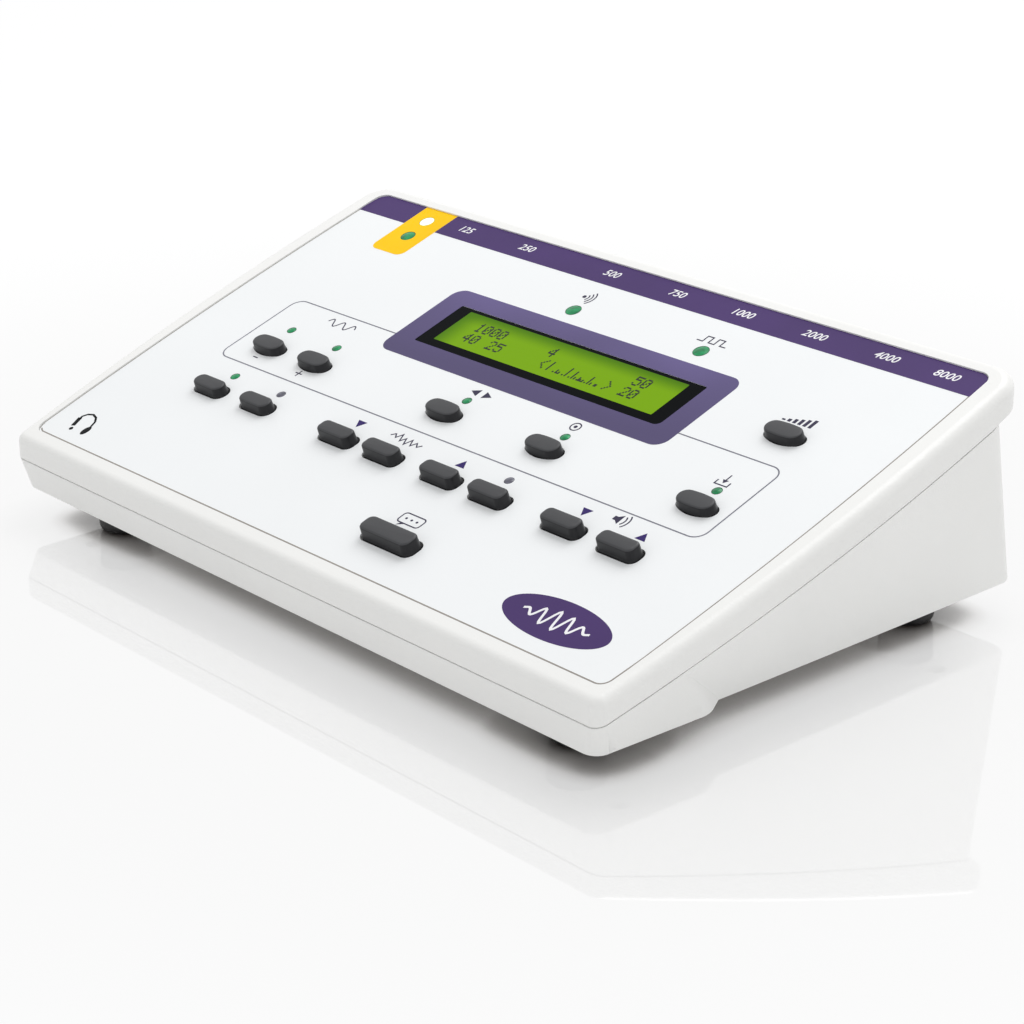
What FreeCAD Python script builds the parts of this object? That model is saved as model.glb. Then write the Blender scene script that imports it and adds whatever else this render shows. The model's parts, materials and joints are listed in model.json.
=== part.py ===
import FreeCAD, Part
import math
import os

# Desktop audiometer: a wedge-shaped console in two moulded halves, with a sloping key deck.
# Millimetres. World frame: X to the operator's right, Y towards the rear, Z up from the table.
# Deck frame: u along X, v up the slope from the overlay's front edge, n out of the deck.
# Parting frame: the plane in which the two halves meet, a little flatter than the deck.
# Lip frame: the plane of the upper half's lower outer edge, between the two.
V = FreeCAD.Vector
X_AXIS = V(1, 0, 0)
Y_AXIS = V(0, 1, 0)
Z_AXIS = V(0, 0, 1)

# ---- case --------------------------------------------------------------------------------------
deck_slope = 19.1              # degrees, deck against the table
deck_front_height = 29.0       # overlay's front edge above the table
deck_length = 152.8            # overlay, front to rear, along the slope
deck_front_width = 258.4
deck_rear_width = 263.2
deck_side_bow = 2.3            # how far each side swells at mid length
deck_corner_radius = 4.0
rim_front = 5.4                # case beyond the overlay, in front, level with the table
rim_rear = 6.2
rim_side_front = 3.6           # and beside it
rim_side_middle = 6.9
rim_side_rear = 6.9
rim_proud = 0.5                # rim top above the overlay
rim_radius = 3.0
case_corner_front = 3.8
case_corner_rear = 10.0
skirt_front = 6.6              # deck plane straight down to the parting plane
skirt_rear = 10.8
lip_height_front = 0.4         # sloping underside of the lip, which overhangs more and more rearwards
lip_height_rear = 2.6
lip_overhang_rear = 4.0
lip_overhang_middle = 1.0
lip_overhang_side = 1.7        # at the rear end of the sides
wall = 2.5
floor_thickness = 2.5
groove_height = 0.5            # shadow groove between the halves
groove_depth = 0.8
foot_height = 11.0
nose_end = 36.5                # the deeper front part of the base ends here, at its bottom edge
nose_end_slant = 1.66          # how fast its end runs back towards the middle
nose_end_lean = 0.45           # and forwards with height
nose_end_radius = 6.0
nose_end_reach = 20.0          # how far in its end is carried, inside the base
nose_front_draft = 1.5         # front face, bottom edge behind top edge
nose_side_draft = 2.5
nose_side_bow = 1.4
nose_corner_radius = 5.0
base_reach = 16.2              # base's rear bottom edge behind the upper half
base_side_lean = 10.1          # its sides draw in this much from the lip to the floor
base_side_bow = 0.3
base_corner_radius = 5.0
base_edge_radius = 0.8         # rounded edge round the floor
base_edge_steps = 2            # faces that make up its curve behind the nose

# ---- deck stack, depths below the overlay's face -----------------------------------------------
overlay_thickness = 0.5
deck_thickness = 2.5
overlay_clearance = 0.15
key_board_depth = 12.0         # to the key board's top face
board_thickness = 1.6
board_side_margin = 14.5       # key board's edge inside the overlay's edge
board_front = 5.0
board_rear_margin = 5.8        # its rear edge inside the overlay's

# ---- keys --------------------------------------------------------------------------------------
key_travel = 0.8
key_clearance = 0.25           # key against its hole
key_flare = 0.6                # how far the foot of a key flares
key_flare_height = 1.1
key_flare_steps = 3            # faces that make up the hollow curve of the foot
key_draft = 0.25
key_flange_width = 0.9         # retaining flange under the deck
key_flange_thickness = 1.0
key_stop_gap = 0.1
key_post_radius = 2.2
plunger_radius = 1.75
plunger_clearance = 0.1
plunger_proud = 1.5            # plunger above its switch at rest
plunger_end_gap = 0.3          # left below the plunger when pressed
switch_size = 6.0
switch_height = 3.5
switch_floor = 0.5

# name, u, v, shape
key_rows = [
    ("frequency_down", -90.6, 67.6, "oval"),
    ("frequency_up", -68.0, 67.8, "oval"),
    ("channel", -6.3, 67.8, "oval"),
    ("response", 36.8, 68.4, "oval"),
    ("store", 97.2, 68.6, "oval"),
    ("level", 97.0, 104.6, "oval"),
    ("tone_left", -89.8, 42.6, "stadium"),
    ("tone_right", -66.8, 43.2, "stadium"),
    ("masking_down", -27.5, 43.4, "bar"),
    ("masking_down_fast", -6.8, 43.6, "bar"),
    ("masking_up", 18.8, 43.9, "bar"),
    ("masking_up_fast", 39.7, 43.9, "bar"),
    ("talk_down", 69.8, 43.9, "bar"),
    ("talk_up", 91.8, 43.9, "bar"),
    ("speech", 28.2, 16.0, "wide_bar"),
]
# (half length, half depth, end or corner radius), (height, rounding of the top edge)
key_shapes = {
    "oval": ((7.0, 3.7, 2.6), (2.8, 0.45)),
    "stadium": ((7.3, 3.2, 3.19), (3.0, 0.6)),
    "bar": ((7.6, 3.2, 2.5), (3.4, 0.85)),
    "wide_bar": ((11.0, 3.7, 2.8), (3.7, 0.6)),
}

# ---- display -----------------------------------------------------------------------------------
display_u = 5.8
display_v = 102.9
window_length = 106.8
window_width = 20.8
window_ledge = 1.0             # deck left under the window's edge
lcd_frame_height = 7.4
lcd_frame_wall = 0.6
lcd_view_length = 96.5
lcd_view_width = 16.4
lcd_view_lift = 0.9            # viewing area above the window's middle
lcd_glass_thickness = 2.0
lcd_board_length = 118.0
lcd_board_width = 36.0
lcd_hole_inset = 2.8
header_length = 40.6
header_width = 2.5

# ---- indicator lamps ---------------------------------------------------------------------------
lamp_clearance = 0.1
lamp_proud = 0.35
lamp_body_length = 5.0
lamp_flange = 0.4
lamp_flange_thickness = 0.8
lead_size = 0.5
lead_pitch = 2.54
small_lamp_radius = 1.5
large_lamp_radius = 2.5
small_green_lamps = [(-92.4, 78.2), (-68.7, 77.6), (-88.5, 51.2), (-4.8, 75.8), (37.8, 75.8), (97.1, 76.6)]
small_grey_lamps = [(-65.1, 51.3), (38.3, 52.7)]
large_lamps_u = [-10.6, 43.9]
large_lamps_setback = 24.0     # behind the middle of the display
label_lamp_u = -100.4
label_lamp_inset = 16.2        # from the overlay's rear edge
power_lamp_u = -101.2
power_lamp_inset = 6.8

# ---- fasteners ---------------------------------------------------------------------------------
screw_radius = 1.5
screw_head_radius = 2.8
screw_head_height = 1.2
board_screw_length = 5.0       # thread below a board
screw_end_gap = 0.2            # left below a screw's end
thread_clearance = 0.05
boss_wall = 1.6
board_screw_front = 12.0       # key board's screws, front pair
board_screw_rear = 120.0       # and rear pair
board_screw_side = 6.2         # from the board's sides
board_screw_middle = [(0.0, 28.0), (15.0, 127.5)]
case_screw_front_side = 9.5    # case screws, from the sides of the floor
case_screw_rear_side = 5.6
case_screw_front = 14.0
case_screw_rear_setback = 26.8
case_screw_length = 12.0
case_screw_bite = 8.0          # thread in the upper boss
case_boss_drop = 6.5           # upper bosses reach this far below the parting plane
tongue_height = 2.0            # alignment tongue of the base, inside the upper half
tongue_thickness = 1.2
tongue_root = 3.0              # how far down the wall it starts
tongue_clearance = 0.3
tongue_board_gap = 3.0         # it stops this far in front of the key board's rear edge

# ---- rear connector bay ------------------------------------------------------------------------
bay_length = 196.0
bay_height = 24.0
bay_bottom = 17.0              # above the table
bay_depth = 13.8               # from the base's rear bottom edge to the connector panel
bay_corner = 3.0
io_board_length = 190.0
io_board_width = 43.5
io_board_height = 19.6         # its underside, above the table
io_board_gap = 1.0             # board's rear edge to the panel
io_screw_side = 5.0            # its screws, from its ends
io_screw_front = 6.0           # and from its front edge
jack_pitch = 19.0
jack_first_x = -82.0
jack_count = 6
jack_bore_radius = 3.25
jack_bore_length = 26.0
jack_bush_radius = 4.5
jack_body_width = 14.0
jack_body_height = 14.0
jack_body_length = 20.0
jack_bush_proud = 4.0
jack_nut_across_flats = 13.0
jack_nut_thickness = 2.4
jack_axis_height = 29.0
panel_clearance = 0.2
port_x = 46.0
port_width = 12.0
port_height = 11.0
port_length = 16.0
port_wall = 1.2
port_cavity_depth = 9.0
port_tongue_setback = 1.0
port_tongue_height = 3.2
inlet_x = 78.0
inlet_width = 9.0
inlet_height = 11.0
inlet_length = 14.0
inlet_bore_radius = 3.2
inlet_pin_radius = 1.0
inlet_bore_depth = 10.0
inlet_pin_setback = 1.0

# ---- cable, chips ------------------------------------------------------------------------------
ribbon_width = 25.0
ribbon_thickness = 0.9
ribbon_bend_radius = 12.0
ribbon_lead = 3.0              # straight run out of the upper socket
ribbon_x = 60.0
ribbon_setback = 9.6           # its lower end, from the front edge of the rear board
socket_depth = 6.0
socket_height = 5.0
socket_wall = 2.0
processor_size = 20.0
processor_height = 1.6
processor_v = 78.0
amplifier_length = 8.0
amplifier_width = 6.0
amplifier_height = 1.5
amplifier_pitch = 14.0
amplifier_first_u = -66.0
amplifier_v = 103.0
amplifier_count = 4
capacitor_radius = 5.0
capacitor_height = 12.0
capacitor_setback = 10.0       # from the board's front edge
capacitor_places_x = [-60.0, -45.0, 20.0, 82.0]

# ---- feet --------------------------------------------------------------------------------------
foot_top_radius = 8.2
foot_bottom_radius = 7.6
foot_edge_radius = 2.6
foot_peg_radius = 2.2
foot_peg_clearance = 0.1
foot_front_side = 28.1         # from the sides of the floor
foot_rear_side = 18.6
foot_front_left_y = 13.5       # the right front foot sits a little further back
foot_front_right_y = 16.5
foot_rear_setback = 24.8

# ---- frames ------------------------------------------------------------------------------------
slope = math.radians(deck_slope)


def deck_point(u, v, n):
    """World position of a deck coordinate."""
    y = v * math.cos(slope) - n * math.sin(slope)
    z = deck_front_height + v * math.sin(slope) + n * math.cos(slope)
    return V(u, y, z)


deck_frame = FreeCAD.Placement(deck_point(0, 0, 0), FreeCAD.Rotation(X_AXIS, deck_slope))


def deck_height(y):
    """Height of the overlay's plane above the table."""
    return deck_front_height + y * math.tan(slope)


deck_rear_y = deck_length * math.cos(slope)
case_rear_y = deck_rear_y + rim_rear
parting_front = V(0, -rim_front, deck_height(-rim_front) - skirt_front)
parting_rear = V(0, case_rear_y, deck_height(case_rear_y) - skirt_rear)
parting_slope = math.atan2(parting_rear.z - parting_front.z, parting_rear.y - parting_front.y)
parting_length = parting_front.distanceToPoint(parting_rear)
parting_frame = FreeCAD.Placement(parting_front, FreeCAD.Rotation(X_AXIS, math.degrees(parting_slope)))
lip_front = parting_front + V(0, 0, lip_height_front)
lip_rear = parting_rear + V(0, 0, lip_height_rear)
lip_slope = math.atan2(lip_rear.z - lip_front.z, lip_rear.y - lip_front.y)
lip_length = lip_front.distanceToPoint(lip_rear)
lip_frame = FreeCAD.Placement(lip_front, FreeCAD.Rotation(X_AXIS, math.degrees(lip_slope)))
base_rear_y = case_rear_y + base_reach
deck_underside = overlay_thickness + deck_thickness
key_board_underside = key_board_depth + board_thickness
plunger_top = key_board_depth - switch_height - plunger_proud
plunger_bottom = key_board_depth - switch_floor - plunger_end_gap - key_travel
thread_radius = screw_radius + thread_clearance
boss_radius = screw_radius + boss_wall
panel_y = base_rear_y - bay_depth
panel_inner = panel_y - wall
io_board_rear = panel_inner - io_board_gap
io_board_front = io_board_rear - io_board_width
board_rear_y = deck_point(0, deck_length - board_rear_margin, -key_board_depth).y
far = 2 * deck_rear_width      # beyond everything, for cutting blocks
pierce = 1.0                   # how far a cutting tool runs past a face
touch = 0.01                   # tolerance when faces are picked by place


def placed(shape, frame):
    """A copy of a shape, moved from a local frame to the world."""
    result = shape.copy()
    result.Placement = frame.multiply(result.Placement)
    return result


def box(x0, x1, y0, y1, z0, z1):
    return Part.makeBox(x1 - x0, y1 - y0, z1 - z0, V(x0, y0, z0))


def cylinder(radius, x, y, z0, z1):
    return Part.makeCylinder(radius, z1 - z0, V(x, y, z0), Z_AXIS)


def fused(shapes):
    """One solid from several that overlap or touch."""
    result = shapes[0].multiFuse(shapes[1:]) if len(shapes) > 1 else shapes[0]
    return result.removeSplitter()


pieces = {}


def keep(name, shapes):
    """Keep one node, a solid or a group of separate solids."""
    solids = []
    for shape in shapes:
        solids.extend(shape.Solids)
    pieces[name] = solids[0] if len(solids) == 1 else Part.makeCompound(solids)


def write_pieces():
    """Move the origin under the middle of the whole object and write each node."""
    bounds = Part.makeCompound(list(pieces.values())).optimalBoundingBox(False)
    shift = V(0, -bounds.Center.y, -bounds.ZMin)
    os.makedirs("parts", exist_ok=True)
    for name, shape in pieces.items():
        shape.translate(shift)
        shape.exportStep("parts/" + name + ".step")
    return shift


# ---- outlines ----------------------------------------------------------------------------------
def side_corner(centre, radius, line_y, corner, inward):
    """Corner arc between a straight end and the bowed side: its ends and its middle."""
    cy = line_y + inward * corner
    cx = centre.x + math.sqrt((radius - corner) ** 2 - (cy - centre.y) ** 2)
    heart = V(cx, cy, 0)
    outward = V(cx - centre.x, cy - centre.y, 0).normalize()
    bisector = (outward + V(0, -inward, 0)).normalize()
    return V(cx, line_y, 0), heart + bisector * corner, heart + outward * corner


def case_outline(half_widths, y0, y1, corners, height=0.0, outset=0.0):
    """Plan outline with straight ends, bowed sides and rounded corners, as a closed wire."""
    front, middle, rear = half_widths
    side = Part.Arc(V(front, y0, 0), V(middle, (y0 + y1) / 2, 0), V(rear, y1, 0)).toShape().Curve
    centre = side.Center
    radius = side.Radius + outset
    f_line, f_mid, f_side = side_corner(centre, radius, y0 - outset, corners[0], 1)
    r_line, r_mid, r_side = side_corner(centre, radius, y1 + outset, corners[1], -1)
    halfway = ((f_side - centre).normalize() + (r_side - centre).normalize()).normalize()
    s_mid = centre + halfway * radius

    def flip(p):
        return V(-p.x, p.y, 0)

    edges = [
        Part.LineSegment(flip(f_line), f_line),
        Part.Arc(f_line, f_mid, f_side),
        Part.Arc(f_side, s_mid, r_side),
        Part.Arc(r_side, r_mid, r_line),
        Part.LineSegment(r_line, flip(r_line)),
        Part.Arc(flip(r_line), flip(r_mid), flip(r_side)),
        Part.Arc(flip(r_side), flip(s_mid), flip(f_side)),
        Part.Arc(flip(f_side), flip(f_mid), flip(f_line)),
    ]
    wire = Part.Wire([edge.toShape() for edge in edges])
    wire.translate(V(0, 0, height))
    return wire


def prism(wire, height):
    return Part.Face(wire).extrude(V(0, 0, height))


def loft(wires):
    return Part.makeLoft(wires, True, True)


deck_half_widths = (
    deck_front_width / 2,
    (deck_front_width + deck_rear_width) / 4 + deck_side_bow,
    deck_rear_width / 2,
)
case_half_widths = (
    deck_half_widths[0] + rim_side_front,
    deck_half_widths[1] + rim_side_middle,
    deck_half_widths[2] + rim_side_rear,
)
lower_half_widths = (
    case_half_widths[0],
    case_half_widths[1] - lip_overhang_middle,
    case_half_widths[2] - lip_overhang_side,
)
nose_half_width = case_half_widths[0] - nose_side_draft
base_half_width = lower_half_widths[2] - base_side_lean
deck_corners = (deck_corner_radius, deck_corner_radius)
case_corners = (case_corner_front, case_corner_rear)
smallest_corner = 1.0


def tilted_outline(frame, half_widths, rear, height, inset):
    """An outline in a tilted plane, drawn in by an inset and raised straight up."""
    corners = [max(corner - inset, smallest_corner) for corner in case_corners]
    wire = placed(case_outline(half_widths, 0, rear, corners, 0, -inset), frame)
    wire.translate(V(0, 0, height))
    return wire


def rim_outline(height, inset=0.0):
    """The case's widest outline, at the lip's outer edge."""
    return tilted_outline(lip_frame, case_half_widths, lip_length, height, inset)


def lower_outline(height, inset=0.0):
    """Where the lip's underside meets the base: flush in front, set in behind."""
    rear = parting_length - lip_overhang_rear
    return tilted_outline(parting_frame, lower_half_widths, rear, height, inset)


def above_deck(depth):
    """Everything above a plane at a depth below the overlay's face."""
    return placed(box(-far, far, -far, far, -depth, far), deck_frame)


# ---- keys --------------------------------------------------------------------------------------
def oval_wire(a, b, end, height):
    """Four-arc oval: half length a, half depth b, end radius."""
    run = a - end
    side = (run ** 2 + b ** 2 - end ** 2) / (2 * (b - end))
    reach = V(run, side - b, 0).normalize()
    tip = V(run, 0, 0) + reach * end
    right = Part.Arc(V(tip.x, tip.y, 0), V(a, 0, 0), V(tip.x, -tip.y, 0))
    front = Part.Arc(V(tip.x, -tip.y, 0), V(0, -b, 0), V(-tip.x, -tip.y, 0))
    left = Part.Arc(V(-tip.x, -tip.y, 0), V(-a, 0, 0), V(-tip.x, tip.y, 0))
    rear = Part.Arc(V(-tip.x, tip.y, 0), V(0, b, 0), V(tip.x, tip.y, 0))
    wire = Part.Wire([arc.toShape() for arc in (right, front, left, rear)])
    wire.translate(V(0, 0, height))
    return wire


def bar_wire(a, b, corner, height):
    """Rounded rectangle: half length a, half depth b, corner radius; a stadium when they match."""
    k = corner * (1 - math.sqrt(0.5))
    edges = []
    for sx, sy in ((1, 1), (-1, 1), (-1, -1), (1, -1)):
        on_side = V(sx * a, sy * (b - corner), 0)
        on_end = V(sx * (a - corner), sy * b, 0)
        middle = V(sx * (a - k), sy * (b - k), 0)
        first, last = (on_side, on_end) if sx * sy > 0 else (on_end, on_side)
        if edges and edges[-1].EndPoint.distanceToPoint(first) > touch:
            edges.append(Part.LineSegment(edges[-1].EndPoint, first))
        edges.append(Part.Arc(first, middle, last))
    if edges[-1].EndPoint.distanceToPoint(edges[0].StartPoint) > touch:
        edges.append(Part.LineSegment(edges[-1].EndPoint, edges[0].StartPoint))
    wire = Part.Wire([edge.toShape() for edge in edges])
    wire.translate(V(0, 0, height))
    return wire


def key_wire(shape, height, outset=0.0):
    """A key's footprint at a height, grown or shrunk evenly."""
    a, b, end = key_shapes[shape][0]
    if shape == "oval":
        return oval_wire(a + outset, b + outset, end + outset, height)
    return bar_wire(a + outset, b + outset, end + outset, height)


def key_cap(shape):
    """Key with hollow flared foot, drafted sides and rounded top, and its flange and post below."""
    height, rounding = key_shapes[shape][1]
    parts = [prism(key_wire(shape, -deck_underside - key_stop_gap), deck_underside + key_stop_gap)]
    wires = []
    for k in range(key_flare_steps + 1):
        turn = k / key_flare_steps * math.pi / 2
        rise = key_flare_height * (1 - math.cos(turn))
        wires.append(key_wire(shape, rise, -key_flare * math.sin(turn)))
    parts += [loft([low, high]) for low, high in zip(wires, wires[1:])]
    body = loft([wires[-1], key_wire(shape, height, -key_flare - key_draft)])
    rims = [edge for edge in body.Edges if edge.BoundBox.ZMin > height - touch]
    parts.append(body.makeFillet(rounding, rims))
    flange_top = -deck_underside - key_stop_gap
    flange_bottom = flange_top - key_flange_thickness
    parts.append(prism(key_wire(shape, flange_bottom, key_flange_width), key_flange_thickness))
    parts.append(cylinder(key_post_radius, 0, 0, -plunger_top, flange_bottom))
    return fused(parts)


def keys_and_plungers():
    """One cap and one plunger per key, each a node of its own."""
    caps = {shape: key_cap(shape) for shape in key_shapes}
    for name, u, v, shape in key_rows:
        frame = FreeCAD.Placement(V(u, v, 0), FreeCAD.Rotation())
        keep("key_" + name, [placed(placed(caps[shape], frame), deck_frame)])
        plunger = cylinder(plunger_radius, u, v, -plunger_bottom, -plunger_top)
        keep("plunger_" + name, [placed(plunger, deck_frame)])


def switch_housings():
    """Square tact-switch bodies on the key board, bored for their plungers."""
    bottom = -key_board_depth
    top = bottom + switch_height
    half = switch_size / 2
    solids = []
    for name, u, v, shape in key_rows:
        body = box(u - half, u + half, v - half, v + half, bottom, top)
        bore = cylinder(plunger_radius + plunger_clearance, u, v, bottom + switch_floor, top)
        solids.append(placed(body.cut(bore), deck_frame))
    keep("switch_housings", solids)


# ---- lamps -------------------------------------------------------------------------------------
def lamp(u, v, radius):
    """Round lamp: domed body, flange and two leads down to the key board."""
    flat = -lamp_body_length
    body = cylinder(radius, 0, 0, flat, 0)
    curve = radius ** 2 / (2 * lamp_proud) + lamp_proud / 2
    dome = Part.makeSphere(curve, V(0, 0, lamp_proud - curve))
    dome = dome.common(cylinder(radius, 0, 0, 0, radius))
    flange = cylinder(radius + lamp_flange, 0, 0, flat - lamp_flange_thickness, flat)
    shapes = [body, dome, flange]
    for side in (-1, 1):
        x = side * lead_pitch / 2
        half = lead_size / 2
        shapes.append(box(x - half, x + half, -half, half, -key_board_depth, flat - lamp_flange_thickness))
    solid = fused(shapes)
    solid.translate(V(u, v, 0))
    return placed(solid, deck_frame)


def large_lamp_places():
    places = [(u, display_v + large_lamps_setback) for u in large_lamps_u]
    return places + [(label_lamp_u, deck_length - label_lamp_inset)]


def power_lamp_place():
    return power_lamp_u, deck_length - power_lamp_inset


def lamps():
    keep("green_lamps", [lamp(u, v, small_lamp_radius) for u, v in small_green_lamps])
    keep("grey_lamps", [lamp(u, v, small_lamp_radius) for u, v in small_grey_lamps])
    keep("large_lamps", [lamp(u, v, large_lamp_radius) for u, v in large_lamp_places()])
    keep("power_lamp", [lamp(*power_lamp_place(), large_lamp_radius)])


def deck_openings(top, bottom):
    """Tools that cut the key and lamp holes through the overlay or the deck."""
    tools = []
    for name, u, v, shape in key_rows:
        hole = prism(key_wire(shape, bottom, key_clearance), top - bottom)
        hole.translate(V(u, v, 0))
        tools.append(hole)
    small = small_green_lamps + small_grey_lamps
    large = large_lamp_places() + [power_lamp_place()]
    for places, radius in ((small, small_lamp_radius), (large, large_lamp_radius)):
        for u, v in places:
            tools.append(cylinder(radius + lamp_clearance, u, v, bottom, top))
    return tools


# ---- deck and display --------------------------------------------------------------------------
def fascia_overlay():
    """Thin printed sheet in the deck's recess, open at the keys, lamps and display."""
    wire = case_outline(deck_half_widths, 0, deck_length, deck_corners, -overlay_thickness)
    sheet = prism(wire, overlay_thickness)
    bottom = -overlay_thickness - pierce
    tools = deck_openings(pierce, bottom)
    tools.append(display_block(window_length, window_width, bottom, pierce, overlay_clearance))
    keep("fascia_overlay", [placed(sheet.cut(Part.makeCompound(tools)), deck_frame)])


def display_block(length, width, bottom, top, grow=0.0, lift=0.0):
    """A block centred on the display."""
    a = length / 2 + grow
    b = width / 2 + grow
    v = display_v + lift
    return box(display_u - a, display_u + a, v - b, v + b, bottom, top)


def lcd_stack():
    """Window, black frame, glass, backlight, board and header of the display module."""
    window = display_block(window_length, window_width, -overlay_thickness, 0)
    keep("display_window", [placed(window, deck_frame)])
    length = window_length - 2 * window_ledge - 2 * overlay_clearance
    width = window_width - 2 * window_ledge - 2 * overlay_clearance
    top = -overlay_thickness
    bottom = top - lcd_frame_height
    frame = display_block(length, width, bottom, top)
    inside = display_block(length, width, bottom - pierce, top - lcd_frame_wall, -lcd_frame_wall)
    view = display_block(lcd_view_length, lcd_view_width, bottom, top + pierce, 0, lcd_view_lift)
    frame = frame.cut(inside).cut(view)
    keep("lcd_frame", [placed(frame, deck_frame)])
    glass_bottom = top - lcd_frame_wall - lcd_glass_thickness
    glass = display_block(length, width, glass_bottom, top - lcd_frame_wall, -lcd_frame_wall)
    keep("lcd_glass", [placed(glass, deck_frame)])
    light = display_block(length, width, bottom, glass_bottom, -lcd_frame_wall)
    keep("lcd_backlight", [placed(light, deck_frame)])
    board = display_block(lcd_board_length, lcd_board_width, bottom - board_thickness, bottom)
    for u, v in lcd_screw_places():
        board = board.cut(cylinder(thread_radius, u, v, bottom - board_thickness, bottom))
    keep("lcd_board", [placed(board, deck_frame)])
    header_v = display_v + lcd_board_width / 2 - lcd_hole_inset
    header_top = bottom - board_thickness
    header = box(
        display_u - header_length / 2,
        display_u + header_length / 2,
        header_v - header_width / 2,
        header_v + header_width / 2,
        -key_board_depth,
        header_top,
    )
    keep("lcd_header", [placed(header, deck_frame)])


def lcd_screw_places():
    du = lcd_board_length / 2 - lcd_hole_inset
    dv = lcd_board_width / 2 - lcd_hole_inset
    return [(display_u + su * du, display_v + sv * dv) for su in (-1, 1) for sv in (-1, 1)]


# ---- case halves -------------------------------------------------------------------------------
def screw_post_places():
    front_x = nose_half_width - case_screw_front_side
    rear_x = base_half_width - case_screw_rear_side
    rear_y = base_rear_y - case_screw_rear_setback
    return [(sx * x, y) for x, y in ((front_x, case_screw_front), (rear_x, rear_y)) for sx in (-1, 1)]


def key_board_screw_places():
    """Two screws at each side of the key board and two near its middle."""
    front_u = deck_half_widths[0] - board_side_margin - board_screw_side
    rear_u = deck_half_widths[2] - board_side_margin - board_screw_side
    sides = ((front_u, board_screw_front), (rear_u, board_screw_rear))
    return [(su * u, v) for u, v in sides for su in (-1, 1)] + board_screw_middle


def parting_height(y):
    """Height of the parting plane above the table at a distance from the deck's front edge."""
    return parting_front.z + (y - parting_front.y) * math.tan(parting_slope)


def boss_end(y):
    """Height at which an upper case boss meets the base's post."""
    return parting_height(y) - case_boss_drop


def hanging_boss(u, v, depth):
    """Screw boss in the deck frame, from the deck down to a depth."""
    return cylinder(boss_radius, u, v, -depth, -deck_underside + deck_thickness / 2)


def top_shell():
    """Upper half: rounded rim, sloping deck, overhanging lip, holes and bosses."""
    tall = skirt_rear + skirt_front + case_rear_y
    outer = prism(rim_outline(0), tall).cut(above_deck(-rim_proud))
    rim_edges = []
    for edge in outer.Edges:
        middle = edge.valueAt((edge.FirstParameter + edge.LastParameter) / 2)
        local = deck_frame.inverse().multVec(middle)
        if abs(local.z - rim_proud) < touch:
            rim_edges.append(edge)
    outer = outer.makeFillet(rim_radius, rim_edges)
    lip = loft([lower_outline(0), rim_outline(0)])
    shell = fused([outer, lip])

    narrow = prism(lower_outline(-pierce, wall), tall)
    wide = prism(rim_outline(wall, wall), tall)
    cavity = narrow.fuse(wide).cut(above_deck(deck_underside))
    shell = shell.cut(cavity)

    bosses = [hanging_boss(u, v, key_board_depth) for u, v in key_board_screw_places()]
    lcd_depth = overlay_thickness + lcd_frame_height
    bosses += [hanging_boss(u, v, lcd_depth) for u, v in lcd_screw_places()]
    bosses = [placed(boss, deck_frame) for boss in bosses]
    roof = above_deck(deck_underside - deck_thickness / 2)
    for x, y in screw_post_places():
        bosses.append(cylinder(boss_radius, x, y, boss_end(y), far).cut(roof))
    shell = fused([shell] + bosses)

    recess_wire = case_outline(
        deck_half_widths, 0, deck_length, deck_corners, -overlay_thickness, overlay_clearance)
    tools = [placed(prism(recess_wire, overlay_thickness + rim_proud + pierce), deck_frame)]
    bottom = -deck_underside - pierce
    holes = deck_openings(pierce, bottom)
    holes.append(display_block(window_length, window_width, bottom, pierce, -window_ledge))
    for u, v in key_board_screw_places():
        holes.append(cylinder(thread_radius, u, v, -key_board_depth, -key_board_depth + board_screw_length))
    for u, v in lcd_screw_places():
        holes.append(cylinder(thread_radius, u, v, -lcd_depth, -lcd_depth + board_screw_length))
    tools += [placed(hole, deck_frame) for hole in holes]
    for x, y in screw_post_places():
        tools.append(cylinder(thread_radius, x, y, boss_end(y), boss_end(y) + case_screw_bite))
    keep("top_shell", [shell.cut(Part.makeCompound(tools))])


def nose_limit(inset):
    """What lies in front of the nose's end: slanted at both sides, and leaning forwards with height."""
    half = nose_half_width + nose_side_bow
    end = nose_end - inset * math.hypot(1, nose_end_slant)
    middle = end + nose_end_reach * nose_end_slant
    side = end - (far - half) * nose_end_slant
    corners = ((half - nose_end_reach, middle), (far, side), (far, -far))
    points = [V(x, y, 0) for x, y in corners]
    points += [V(-x, y, 0) for x, y in reversed(corners)]
    face = Part.Face(Part.makePolygon(points + points[:1]))
    lean = V(0, -nose_end_lean * foot_height, foot_height)
    face.translate(V(0, 0, foot_height) - lean)
    return face.extrude(lean * far)


def nose_loft(inset):
    """Front part of the base, less drafted than the rest, up to its slanted end."""
    half = nose_half_width
    widths = (half, half + nose_side_bow, half)
    corners = [nose_corner_radius - inset, nose_corner_radius - inset]
    front = parting_front.y + nose_front_draft
    bottom = case_outline(widths, front, base_rear_y, corners, foot_height, -inset)
    return loft([bottom, lower_outline(0, inset)]).common(nose_limit(inset))


def rear_loft(inset):
    """Rear part of the base, set in under the lip, narrowing to its rounded bottom edge."""
    half = base_half_width
    widths = (half, half + base_side_bow, half)
    wires = []
    for k in range(base_edge_steps + 1):
        turn = k / base_edge_steps * math.pi / 2
        rise = base_edge_radius * (1 - math.cos(turn))
        draw = base_edge_radius * (1 - math.sin(turn)) + inset
        corners = [nose_corner_radius - draw, base_corner_radius - draw]
        height = foot_height + rise
        wires.append(case_outline(widths, nose_corner_radius, base_rear_y, corners, height, -draw))
    wires.append(lower_outline(0, inset))
    return fused([loft([low, high]) for low, high in zip(wires, wires[1:])])


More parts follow.
